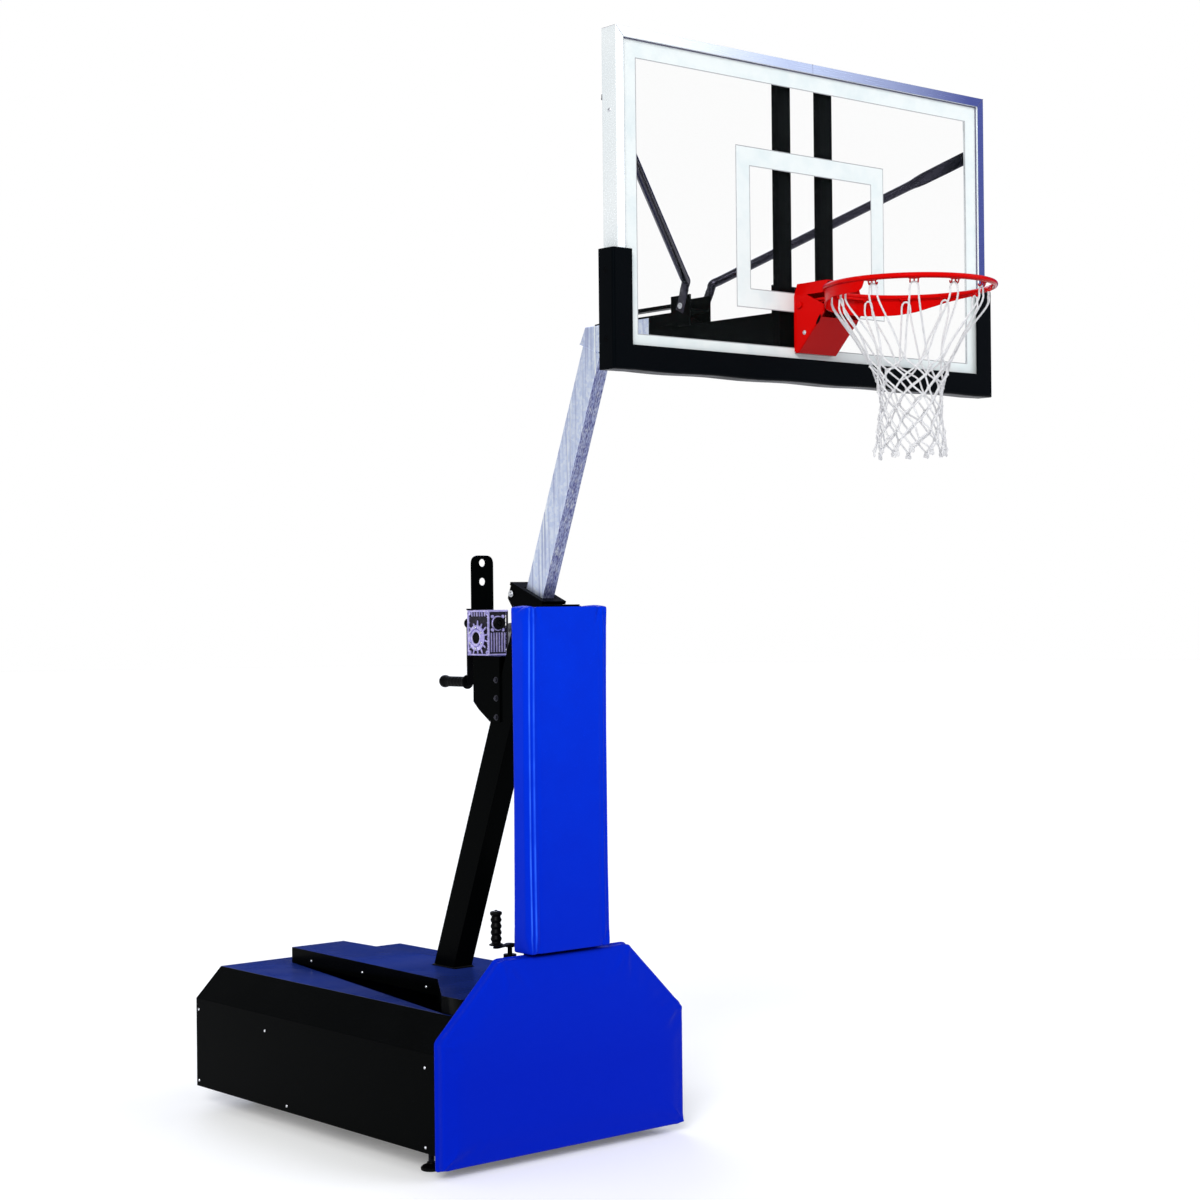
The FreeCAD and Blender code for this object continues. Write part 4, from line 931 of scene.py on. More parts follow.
def gearbox():
    """Cast worm gearbox: finned case, round boss with a bore, bolted covers and a black cap."""
    low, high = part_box("gearbox_housing")
    cover_low, cover_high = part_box("gearbox_covers")
    skin = 6 * MM
    core, case = Form(), Form()
    core.block(low + Vector((skin, skin, 3 * MM)), high - Vector((skin, 3 * MM, 3 * MM)), 4 * MM, 3)
    # flanges round the top and foot, and an upright rib at each corner
    for z0, z1 in ((low.z, low.z + 6 * MM), (high.z - 7 * MM, high.z)):
        case.block((low.x, low.y, z0), (high.x, high.y, z1), 1.5 * MM)
    # the front rib on the left is lit with the ribs and the one on the right shaded with the core: painted highlight
    # and painted shade
    for x, form in ((low.x, case), (high.x - 6 * MM, core)):
        form.block((x, low.y, low.z + 4 * MM), (x + 6 * MM, low.y + 6 * MM, high.z - 4 * MM), 1.5 * MM)
        case.block((x, high.y - 7 * MM, low.z + 4 * MM), (x + 6 * MM, high.y, high.z - 4 * MM), 1.5 * MM)
    # cooling fins on the front face, and the bolted worm flange above them
    for k in range(6):
        x = low.x + 15 * MM + k * (high.x - low.x - 30 * MM) / 5
        case.block((x - 1.2 * MM, low.y + 0.5 * MM, low.z + 12 * MM),
                   (x + 1.2 * MM, low.y + 8 * MM, BOSS.z + 18 * MM), 0.5 * MM)
    flange = facing((0, low.y + skin, WORM_HEIGHT), -Y)
    case.turn(mm((20, 0), (25.5, 0), (25.5, 4), (24, 5), (20, 5)), flange, 48)
    for k in range(4):
        angle = math.pi / 4 + k * math.pi / 2
        case.turn(mm((0, 0), (6, 0), (6, 4), (4.5, 5), (0, 5)),
                  flange @ Matrix.Translation((*polar(32 * MM, angle), 0)), 20)
    for side in (-1, 1):
        face = side * (high.x - skin)
        at = facing((face, BOSS.y, BOSS.z), X * side)
        # petals between the round boss and the case
        for k in range(14):
            across = Vector((0, *polar(1, TURN * (k + 0.5) / 14)))
            start = Vector((face + side * 3 * MM, BOSS.y, BOSS.z)) + across * 42 * MM
            end = start + across * (18 * MM if k % 2 else 12 * MM)
            end.y = min(max(end.y, low.y + 3 * MM), high.y - 3 * MM)
            end.z = min(max(end.z, low.z + 3 * MM), high.z - 3 * MM)
            case.tube([start, end], [3.4 * MM, 2.2 * MM], 8)
        for y in (low.y + 9 * MM, high.y - 9 * MM):
            for z in (low.z + 10 * MM, high.z - 11 * MM):
                socket_head = mm((0, 0), (8, 0), (8, 5), (6.5, 6), (3.4, 6), (3.2, 1), (0, 1))
                case.turn(socket_head, facing((face, y, z), X * side), 20)
        # short ribs up both edges and along the top
        x0, x1 = sorted((face, face + side * 5 * MM))
        for z in np.linspace(low.z + 24 * MM, high.z - 26 * MM, 7):
            for y in (low.y + 1 * MM, high.y - 10 * MM):
                case.block((x0, y, z - 1.5 * MM), (x1, y + 9 * MM, z + 1.5 * MM), 0.6 * MM)
        for y in np.linspace(low.y + 24 * MM, high.y - 24 * MM, 6):
            case.block((x0, y - 1.5 * MM, high.z - 22 * MM), (x1, y + 1.5 * MM, high.z - 4 * MM), 0.6 * MM)
    # the body takes the shaded copy of the cast alloy and the ribs the lit copy: painted shade and painted highlights
    core.piece("gearbox_core", "cast_painted_shade", "root", "cast_alloy", ["gearbox_housing"])
    case.piece("gearbox_ribs", "cast", "root", "cast_alloy")

    covers, shadow = Form(), Form()
    bore = 17 * MM
    for side, face, end in ((-1, low.x, cover_low.x), (1, high.x, cover_high.x)):
        thick = abs(end - face)
        at = facing((face, BOSS.y, BOSS.z), X * side)
        covers.turn(((bore, -30 * MM), (bore + 2 * MM, -30 * MM), (bore + 2 * MM, 0), (44 * MM, 0),
                     (44 * MM, thick * 0.6), (42 * MM, thick * 0.8), (33 * MM, thick * 0.8), (31.5 * MM, thick * 0.1),
                     (29 * MM, thick * 0.1), (27.5 * MM, thick), (21 * MM, thick), (20 * MM, thick * 0.5),
                     (bore, thick * 0.5), (bore, -30 * MM)), at, 64)
        # a black disc in each bore stands for the shade inside the hollow shaft: painted shade
        shadow.turn(((0, 0), (bore + 0.4 * MM, 0), (bore + 0.4 * MM, 1 * MM), (0, 1 * MM)), at, 32)
        if side < 0:  # a dished cap closes the free end of the bore
            dish = ((0, 0.63), (19.8, 0.63), (19.8, 0.8), (18, 0.92), (14, 0.92), (13, 0.7), (0, 0.7))
            shadow.turn([(r * MM, share * thick) for r, share in dish], at, 48)
    covers.piece("gearbox_rings", "cast", "root", "cast_alloy", ["gearbox_covers"])
    shadow.piece("gearbox_bore_shadow", "rubber", "root", "black_grip")

    cap = Form()
    cap_at = facing((0, low.y + 1 * MM, WORM_HEIGHT), -Y)
    cap.turn(mm((0, 5), (9, 5), (11, 9), (20, 9), (22, 7), (22, 0), (0, 0)), cap_at, 48)
    cap.turn(mm((0, 0), (7.5, 0), (7.5, 7), (5.5, 8.4), (0, 8.4)), cap_at, 32)
    cap.piece("gearbox_cap", "rubber", "root", "black_grip")


def winch_details():
    """The machine bolts, and the two-hole plate with rounded corners that stands on the gearbox."""
    bolts, dark = Form(), Form()
    for low, high in parts_of("machine_bolts"):
        centre, size = (low + high) / 2, high - low
        if size.x > 50 * MM:
            ends = (low.x + 2 * MM, high.x - 2 * MM)
            bolts.tube([Vector((x, centre.y, centre.z)) for x in ends], 5 * MM, 24)
            for side, x in ((-1, low.x + 7 * MM), (1, high.x - 7 * MM)):
                bolts.bolt(facing((x, centre.y, centre.z), X * side), 8 * MM, 7 * MM)
            continue
        side = 1 if centre.x > 0 else -1
        if size.z > 12 * MM:
            seat = Vector((side * 46.3 * MM, centre.y, centre.z))
            dark.bolt(facing(seat, X * side), size.z / 2 - 2 * MM, 7 * MM)
        else:
            seat = Vector((centre.x - side * (size.x / 2 + 1 * MM), centre.y, centre.z))
            bolts.bolt(facing(seat, X * side), 4.8 * MM, size.x + 1 * MM, False)
    bolts.piece("machine_bolts_fine", "bright", "root", "zinc_fasteners", ["machine_bolts"])
    dark.piece("cheek_bolts", "dull", "root", "zinc_fasteners")

    low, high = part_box("winch_plate")
    half = high.x
    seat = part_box("gearbox_housing")[1].z
    outline = rounded([(-half, seat), (half, seat), (half, high.z), (-half, high.z)], 30 * MM, 8)
    outline = [(u, max(v, seat)) if v > seat + 40 * MM else (math.copysign(half, u), seat) for u, v in outline]
    cleaned = [p for i, p in enumerate(outline) if p != outline[i - 1]]
    mesh = plate_mesh(cleaned, [(0, z * MM, 14.2 * MM) for z in PLATE_HOLES], 5 * MM, 0.8 * MM)
    mesh.transform(Matrix.Translation((0, PLATE_REAR, 0)) @ Matrix.Rotation(math.pi / 2, 4, "X"))
    foot = Form().block((-half, PLATE_FRONT, seat), (half, high.y, seat + 5 * MM), 0.8 * MM)
    finish_piece(mesh, "winch_plate_rounded", "enamel", "root", ["winch_plate"])
    foot.piece("winch_plate_foot", "enamel", "root", "black_enamel")


def hoist_rope():
    """Rope from the drum over the sheave, then down inside the mast, where the real rope lengthens with the slide;
    this run keeps one length.
    """
    sheave_low, sheave_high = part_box("sheave")
    thick, groove, across = 1.5 * MM, 20.4 * MM, 48 * MM
    centre = (sheave_low + sheave_high) / 2
    drum = joint_at("drum_turn")
    drum_end = Vector((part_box("hoist_rope")[1].x - thick, drum.y - 30.3 * MM - thick, drum.z + 8 * MM))
    to_mast = mast_point(0, -1, 0) - mast_point(0, 0, 0)
    away = (Vector((centre.x, drum_end.y, drum_end.z)) - centre).normalized().cross(X)
    away = -away if away.y < 0 else away
    over = [centre + away.slerp(to_mast, t) * (groove + thick) for t in np.linspace(0, 1, 14)]
    bend = mast_point(centre.x, across, ROPE_BEND)
    anchor = mast_point(centre.x, across, ROPE_ANCHOR)
    Form().tube([drum_end] + over + [bend], thick, 12).piece(
        "rope_over_sheave", "rope", "root", "machined_steel", ["hoist_rope"], 60, False)
    run = Form().tube([bend.lerp(anchor, t) for t in np.linspace(0, 1, 24)], thick, 12).piece(
        "rope_in_mast", "rope", None, "machined_steel", (), 60, False)
    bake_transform(run)


def crank_grip():
    """The hoist's handle: a flange, ribbed waist and rounded end."""
    low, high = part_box("crank_grip")
    centre = (low + high) / 2
    length = high.y - low.y
    at = facing((centre.x, low.y, centre.z), Y)
    grip = Form()
    profile = [(5.4, 0), (19, 0), (23.5, 1.5), (25, 4.5), (25, 7), (23, 10), (19, 13), (17.2, 18)]
    for k in range(5):
        z = 24 + k * 19
        profile += [(17.6, z), (16.6, z + 5), (16.6, z + 12), (17.6, z + 17)]
    profile += [(18.5, 124), (21, 129), (22, 136), (21.5, 143), (19, 147.5), (14, 149.4), (5.4, 150)]
    scale = length / 0.150
    grip.turn([(r * MM, z * MM * scale) for r, z in profile], at, 48)
    for k in range(24):
        across, up = polar(17.1 * MM, TURN * k / 24)
        base = Vector((centre.x + across, low.y, centre.z + up))
        grip.tube([base + Y * 0.024, base + Y * 0.118], 0.9 * MM, 6)
    grip.piece("crank_grip_moulded", "rubber", "hoist_grip", "black_grip", ["crank_grip"])
    cap = Form().bolt(facing((centre.x, high.y - 0.5 * MM, centre.z), Y), 5.5 * MM, 3.5 * MM)
    cap.piece("crank_grip_nut", "bright", "hoist_crank", "zinc_fasteners")


def jack_grip():
    """The jack's upright handle, with finger grooves."""
    low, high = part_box("jack_grip")
    centre = (low + high) / 2
    at = Matrix.Translation((centre.x, centre.y, low.z))
    grip = Form()
    profile = [(5.4, 0), (22, 0), (24, 1.2), (24, 3.8), (22, 5.2), (18, 6.5), (15.5, 9), (15.2, 14)]
    for k in range(4):
        z = 17 + k * 21
        profile += [(17.2, z), (18.6, z + 4), (18.6, z + 7), (17, z + 11), (15.0, z + 15), (15.0, z + 18)]
    profile += [(18, 101), (20, 104), (20.5, 108), (19.5, 111.5), (16, 113.6), (5.4, 114)]
    grip.turn([(r * MM, z * MM) for r, z in profile], at, 48)
    grip.piece("jack_grip_moulded", "rubber", "jack_knob", "black_grip", ["jack_grip"])
    nut = Form().bolt(Matrix.Translation((centre.x, centre.y, high.z)), 5 * MM, 4 * MM)
    nut.piece("jack_grip_nut", "bright", "jack_screw", "zinc_fasteners")


def mast_point(x, across, along):
    """A point given in the leaning mast's own directions."""
    sin, cos = math.sin(MAST_LEAN), math.cos(MAST_LEAN)
    return Vector((x, MAST_FOOT - along * sin + across * cos, along * cos + across * sin))


def mast_details():
    """The boot round the mast's foot, the weld at its elbow, and the tube's seam line."""
    beads = Form()
    half_x, half_v = 40.6 * MM, 54.6 * MM
    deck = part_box("centre_cover")[1].z
    front, rear = ((deck - v * math.sin(MAST_LEAN)) / math.cos(MAST_LEAN) for v in (-half_v, half_v))
    ring = [mast_point(-half_x, -half_v, front), mast_point(half_x, -half_v, front),
            mast_point(half_x, half_v, rear), mast_point(-half_x, half_v, rear)]
    path = []
    for a, b in zip(ring, ring[1:] + ring[:1]):
        path += [a.lerp(b, t) for t in np.linspace(0, 0.94, 12)]
    beads.tube([p + Z * 1.5 * MM for p in path], 4 * MM, 8, True)
    beads.piece("mast_boot", "rubber", "root", "black_grip")

    # weld round the mitre between the leaning tube and the level arm
    weld = Form()
    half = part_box("upper_mast")[1].x
    for x in (-half - 0.2 * MM, half + 0.2 * MM):
        weld.tube([Vector((x, *ELBOW_REAR.lerp(ELBOW_FRONT, t).yz)) + X * 0.4 * MM * math.sin(t * 70)
                   for t in np.linspace(0.02, 0.98, 40)], 1.6 * MM, 8)
    for corner, y, z in ((ELBOW_REAR, 0.4, 0.3), (ELBOW_FRONT, -0.4, -0.6)):
        spot = corner + Vector((0, y, z)) * MM
        weld.tube([Vector((x, spot.y, spot.z)) for x in np.linspace(-half, half, 14)], 1.6 * MM, 8)
    weld.piece("elbow_weld", "zinc", "carriage", "galvanised")

    line = Form()
    line.tube([mast_point(2 * MM, -46.1 * MM, along) for along in np.linspace(*SEAM_RUN, 30)], 0.7 * MM, 6,
              flat=0.35 * MM, hint=(1, 0, 0))
    line.piece("mast_seam", "seam", "carriage", "galvanised")


# ---------------------------------------------------------------- board

TARGET = (-305 * MM, 2679 * MM, 305 * MM, 3136 * MM)
FRAME_FACE = 28 * MM


def painted_loop(form, outer, inner, y, thick):
    """A flat rectangular band facing the court: outer and inner are (x0, z0, x1, z1)."""
    loops = []
    for x0, z0, x1, z1 in (outer, inner):
        loops.append([(x0, z0), (x1, z0), (x1, z1), (x0, z1)])
    points = [(u, y - depth, v) for depth in (0, thick) for loop in loops for u, v in loop]
    faces = []
    for k in range(4):
        n = (k + 1) % 4
        faces.append((k, n, 4 + n, 4 + k))
        faces.append((8 + n, 8 + k, 12 + k, 12 + n))
        faces.append((k, 8 + k, 8 + n, n))
        faces.append((4 + n, 12 + n, 12 + k, 4 + k))
    form.add(points, faces)


def board_details():
    """Painted markings with grey painted shadow lines at their edges, the seal, the frame's joint lines and corner
    keys, and the board's bolts.
    """
    low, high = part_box("board_frame")
    glass_low, glass_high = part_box("glass")
    face = FRAME_FACE
    inner = (low.x + face, low.z + face, high.x - face, high.z - face)
    front = glass_low.y - 0.15 * MM
    thick = 0.25 * MM
    margin, target_line, edge = 49 * MM, 51 * MM, 2.6 * MM

    def grow(rect, by):
        return (rect[0] - by, rect[1] - by, rect[2] + by, rect[3] + by)

    paint, lines = Form(), Form()
    painted_loop(paint, inner, grow(inner, -margin), front, thick)
    painted_loop(paint, TARGET, grow(TARGET, -target_line), front, thick)
    paint.piece("glass_markings", "white", "carriage", "glass", weighted=False)
    # grey painted shadow lines along the markings' edges
    painted_loop(lines, grow(inner, -margin), grow(inner, -margin - edge), front, thick)
    painted_loop(lines, grow(TARGET, edge), TARGET, front, thick)
    painted_loop(lines, grow(TARGET, -target_line), grow(TARGET, -target_line - edge), front, thick)
    lines.piece("marking_shadow_lines", "outline", "carriage", "glass", weighted=False)

    # soft seal between the glass and the frame, on both faces
    seal = Form()
    for y in (glass_low.y, glass_high.y + 3 * MM):
        painted_loop(seal, inner, grow(inner, -2.6 * MM), y, 3 * MM)
    seal.piece("glass_seal", "seam", "carriage", "anodised", weighted=False)

    # mitred corners, and the joint in the middle of the rails
    joints = Form()
    y0, top = low.y - 0.12 * MM, high.z + 0.1 * MM

    def joint_line(start, end, hint):
        joints.tube([start, end], 0.7 * MM, 6, flat=0.2 * MM, hint=hint)

    for side in (-1, 1):
        for corner_z, inner_z in ((high.z, high.z - face), (low.z, low.z + face)):
            joint_line((side * high.x, y0, corner_z), (side * (high.x - face), y0, inner_z), Z)
        joint_line((side * high.x, y0, top), (side * high.x, high.y, top), X)
    for z in (high.z, low.z + face):
        joint_line((0, y0, z), (0, y0, z - face), X)
    joint_line((0, y0, top), (0, high.y, top), X)
    joints.piece("frame_joints", "seam", "carriage", "anodised", weighted=False)

    # corner keys on the rear of the frame
    keys = Form()
    at = Matrix.Translation((0, high.y - 0.2 * MM, 0)) @ Matrix.Rotation(-math.pi / 2, 4, "X")
    key = mm((0, 0), (90, 0), (90, 22), (22, 22), (22, 90), (0, 90))
    for side in (-1, 1):
        for z, up in ((high.z, -1), (low.z, 1)):
            outline = [(side * (u - high.x + 4 * MM), -(z + up * (v + 4 * MM))) for u, v in key]
            keys.prism(outline, 2.5 * MM, at, 0.5 * MM)
    keys.piece("corner_keys", "anodised", "carriage", "anodised")

    bolts = Form()
    for part_low, part_high in parts_of("board_bolts"):
        centre, size = (part_low + part_high) / 2, part_high - part_low
        if abs(centre.x) > high.x - 10 * MM:
            side = 1 if centre.x > 0 else -1
            bolts.button(facing((side * high.x, centre.y, centre.z), X * side), 6 * MM, 2.4 * MM)
        elif centre.y < front:
            if centre.z < 2700 * MM:  # the upper pair is under the bracket's folded top
                bolts.bolt(facing((centre.x, part_high.y, centre.z), -Y), size.x / 2, size.y)
        else:
            bolts.bolt(facing((centre.x, part_low.y, centre.z), Y), size.x / 2, size.y)
    bolts.piece("board_bolts_fine", "bright", "carriage", "zinc_fasteners", ["board_bolts"])


BRACE_FOOT_Z = 2752 * MM
BRACE_KNEE = (-548 * MM, 2824 * MM)
# x, distance behind the frame and z, in mm, of the last bend, the tube's end and the bolt
BRACE_TOP = ((735, 9, 3224), (752, 4.2, 3232), (740, 12, 3226))


def braces():
    """Round tubes, pinched flat where they are bolted to the bracket and to the frame."""
    bracket_low, bracket_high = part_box("brace_bracket")
    frame_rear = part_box("board_frame")[1].y
    wall = bracket_high.x + 4.2 * MM
    foot_y = (bracket_low.y + bracket_high.y) / 2 - 9 * MM
    nuts = Form()
    for side, name in ((-1, "brace_left"), (1, "brace_right")):
        foot = Vector((side * wall, foot_y, BRACE_FOOT_Z))
        knee = Vector((side * (wall + 8 * MM), *BRACE_KNEE))
        far, pad_end, bolt = (Vector((side * x * MM, frame_rear + y * MM, z * MM)) for x, y, z in BRACE_TOP)
        way = (far - knee).normalized()
        # each stop: place, half breadth and half thickness in mm, and how far the flat has turned to face the board
        stops = [(foot - Vector((0, -8 * MM, 16 * MM)), 18, 4, 0), (foot, 18, 4, 0),
                 (foot.lerp(knee, 0.5), 17, 6, 0), (knee - (knee - foot).normalized() * 18 * MM, 14.5, 11, 0),
                 (knee, 14, 14, 0.05),
                 (knee + way * 26 * MM, 14, 14, 0.1), (knee + way * 60 * MM, 14, 14, 0.2),
                 (knee.lerp(far, 0.3), 14, 14, 0.5), (knee.lerp(far, 0.55), 14, 14, 0.8),
                 (far - way * 215 * MM, 14, 14, 1), (far - way * 180 * MM, 15, 12, 1),
                 (far - way * 140 * MM, 19, 6, 1), (far - way * 60 * MM, 20, 5, 1), (far, 20, 4, 1),
                 (pad_end, 20, 4, 1)]
        path = smooth_path([s[0] for s in stops], 5)
        steps = len(path)
        stations = np.linspace(0, len(stops) - 1, steps)
        wide, thin, twist = (np.interp(stations, range(len(stops)), [s[k] for s in stops]) * unit
                             for k, unit in ((1, MM), (2, MM), (3, 1)))
        rings = []
        for i, p in enumerate(path):
            along = (path[min(i + 1, steps - 1)] - path[max(i - 1, 0)]).normalized()
            flat_normal = (X * side).lerp(Y, twist[i]).normalized()
            flat_normal = (flat_normal - along * flat_normal.dot(along)).normalized()
            broad = along.cross(flat_normal)
            square = 0.72 if thin[i] < wide[i] * 0.6 else 1.0
            ring = []
            for k in range(20):
                c, s = polar(1, TURN * k / 20)
                ring.append(p + broad * wide[i] * math.copysign(abs(c) ** square, c)
                            + flat_normal * thin[i] * math.copysign(abs(s) ** square, s))
            rings.append(ring)
        Form().loft(rings).piece(name + "_tube", "brace_paint", "carriage", "black_enamel", [name], 40)
        nuts.bolt(facing(foot + X * side * 4.4 * MM, X * side), 6.5 * MM, 6 * MM)
        nuts.bolt(facing(bolt, Y), 9 * MM, 6 * MM)
    nuts.piece("brace_bolts", "bright", "carriage", "zinc_fasteners")


# ---------------------------------------------------------------- rim and net

DECK_FRONT, DECK_LOW, DECK_HIGH, DECK_HALF = -1064 * MM, 2703 * MM, 2710 * MM, 70 * MM
WEB_LOW = 2660 * MM
# how low the skirt reaches at each degree round the ring
SKIRT_EDGE = ((-14, 2707), (-9, 2705), (5, 2701), (17, 2694), (28, 2683), (38, 2672), (51, 2664), (63, 2661),
              (76, 2660), (104, 2660), (118, 2661), (134, 2664), (148, 2673), (160, 2679), (184, 2679),
              (187, 2683), (189, 2690), (190, 2700), (190.6, 2708))


def rim():
    """The ring, its skirt and yoke, the hinge's bushes and the springs below the tongue."""
    low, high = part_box("rim_ring")
    centre = (low + high) / 2
    rod = (high.z - low.z) / 2
    mid = (high.x - low.x) / 2 - rod
    ring = Form()
    ring.tube([centre + Vector((*polar(mid, a), 0)) for a in np.linspace(0, TURN, 144, False)], rod, 24, True)
    ring.piece("ring_rod", "orange", "rim", "rim_orange", ["rim_ring"], 60, False)

    yoke = Form()
    skirt_out, skirt_in = 239.5 * MM, 235.9 * MM
    rings = []
    degrees = np.concatenate([np.linspace(-14, 184, 100), np.linspace(184.6, 190.4, 12)])
    bottoms = np.interp(degrees, [d for d, _ in SKIRT_EDGE], [z for _, z in SKIRT_EDGE]) * MM
    top = centre.z - rod * 0.55
    mid_r, half = (skirt_out + skirt_in) / 2, (skirt_out - skirt_in) / 2
    for degree, bottom in zip(degrees, bottoms):
        out = Vector((*polar(1, math.radians(degree)), 0))
        bottom = min(bottom, top - 1 * MM)
        section = [(half, top), (half, bottom + half), (half * 0.7, bottom + half * 0.3), (0, bottom),
                   (-half * 0.7, bottom + half * 0.3), (-half, bottom + half), (-half, top)]
        rings.append([Vector((centre.x, centre.y, z)) + out * (mid_r + r) for r, z in section])
    yoke.loft(rings)
    # bead where the skirt is welded to the rod
    bead = [centre + Vector((*polar(skirt_in - 1.2 * MM, a), -rod * 0.93 + 0.3 * MM * math.sin(a * 90)))
            for a in np.radians(np.linspace(-10, 188, 160))]
    yoke.tube(bead, 1.8 * MM, 8)
    hinge = joint_at("rim_breakaway")
    reach = centre.y + math.sqrt(skirt_in ** 2 - DECK_HALF ** 2)
    yoke.block((-DECK_HALF, reach - 4 * MM, DECK_LOW), (DECK_HALF, DECK_FRONT, DECK_HIGH), 1.5 * MM)
    for x in (-64 * MM, 56 * MM):
        lug = mm((-1050, 2681), (-1050, 2709), (-1165, 2706), (-1165, 2701), (-1148, 2700), (-1080, 2681))
        at = Matrix.Translation((x, 0, 0)) @ Matrix(((0, 0, 1, 0), (1, 0, 0, 0), (0, 1, 0, 0), (0, 0, 0, 1)))
        yoke.prism(rounded(lug, 2 * MM), 8 * MM, at, 1.2 * MM)
    # curved front web that closes the yoke below the deck
    web = []
    for degree in np.linspace(72, 108, 25):
        out = Vector((*polar(1, math.radians(degree)), 0))
        web.append([Vector((centre.x, centre.y, z)) + out * r for r, z in
                    ((skirt_out + 3 * MM, DECK_LOW + 0.5 * MM), (skirt_out + 3 * MM, WEB_LOW + 4 * MM),
                     (skirt_out, WEB_LOW), (skirt_out, DECK_LOW + 0.5 * MM))])
    yoke.loft(web)
    yoke.piece("yoke_and_skirt", "orange", "rim", "rim_orange", ["rim_yoke"])

    bushes = Form()
    for side in (-1, 1):
        bushes.turn(mm((6.4, 0), (11, 0), (11, 4), (10, 5), (6.4, 5)),
                    facing((side * 64 * MM, hinge.y, hinge.z), X * side), 32)
    bushes.piece("hinge_bushes", "steel", "rim", "machined_steel")

    # the coils stand on the bracket under the tongue, which presses them down as the rim gives way; these coils keep
    # their length
    coils = Form()
    wound = 8 * TURN
    for low, high in parts_of("rim_springs"):
        middle, wire = (low + high) / 2, 2 * MM
        wind, rise = (high.x - low.x) / 2 - wire, high.z - low.z - 2 * wire
        base = Vector((middle.x, middle.y, low.z + wire))
        coils.tube([base + Vector((*polar(wind, a), rise * a / wound))
                    for a in np.linspace(0, wound, 256)], wire, 10)
    springs = coils.piece("rim_spring_coils", "bright", "carriage", "zinc_fasteners", ["rim_springs"],
                          60, False)
    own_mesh(springs)
    return centre, mid, rod


def hook_places(centre, mid):
    """Each net hook's point on the rod's axis and its outward direction."""
    for k in range(12):
        out = Vector((*polar(1, math.radians(15 + 30 * k)), 0))
        yield centre + out * mid, out


# a net hook's wires in mm: along the ring and down, then down and inward
SADDLE = ((-17, -2), (-16, 2), (-9, 3.4), (0, 3.8), (9, 3.4), (16, 2), (17, -2))
CURL = ((2, 0), (8, 1), (13, 4.5), (13.5, 9), (9.5, 11), (7.5, 10.4))
STUB = ((2, 0), (7, 0), (10.5, 1.5))


def net_hooks(centre, mid, rod):
    """Each hook is a welded saddle with two curled wires and a stub between them."""
    hooks = Form()
    for spot, out in hook_places(centre, mid):
        along = Z.cross(out)
        base = spot - out * 10.5 * MM - Z * (rod - 5 * MM)
        hooks.tube(smooth_path([base + along * u * MM - Z * v * MM for u, v in SADDLE], 4), 2.2 * MM, 8)
        for u, wire in ((-11, CURL), (0, STUB), (11, CURL)):
            stem = base + along * u * MM
            curl = [stem - Z * down * MM - out * inward * MM for down, inward in wire]
            hooks.tube(smooth_path(curl, 4), 2.0 * MM, 8)
    hooks.piece("net_hooks_wire", "orange", "rim", "rim_orange", ["net_hooks"], 60, False)


CORD = 3.0 * MM
# the net's height and radius, in mm
NET_RADII = ((2697, 222), (2600, 170), (2512, 121), (2470, 104), (2425, 92), (2370, 88), (2320, 91), (2246, 103))
JOINT_TOP, JOINT_STEP, JOINT_ROWS = 2514 * MM, 28.4 * MM, 10
PLY_PITCH = 13 * MM


def net_cord(form, path, radius):
    """Three-ply twisted cord along a path."""
    line = [Vector(p) for p in path]
    along = 0.0
    plies = [[], [], []]
    side = None
    for i, p in enumerate(line):
        ahead = line[min(i + 1, len(line) - 1)] - line[max(i - 1, 0)]
        ahead.normalize()
        if side is None:
            side = X if abs(ahead.x) < 0.9 else Y
        side = (side - ahead * side.dot(ahead)).normalized()
        over = ahead.cross(side)
        if i:
            along += (p - line[i - 1]).length
        for k, ply in enumerate(plies):
            angle = TURN * (k / 3 + along / PLY_PITCH)
            ply.append(p + (side * math.cos(angle) + over * math.sin(angle)) * radius * 0.5)
    for ply in plies:
        form.tube(ply, radius * 0.56, 6)


def even_steps(path, step):
    """The same line with points an equal step apart."""
    pts = np.array([tuple(p) for p in path])
    reach = np.concatenate([[0], np.cumsum(np.linalg.norm(np.diff(pts, axis=0), axis=1))])
    at = np.linspace(0, reach[-1], max(3, int(reach[-1] / step)))
    return [Vector(p) for p in np.stack([np.interp(at, reach, pts[:, k]) for k in range(3)], 1)]


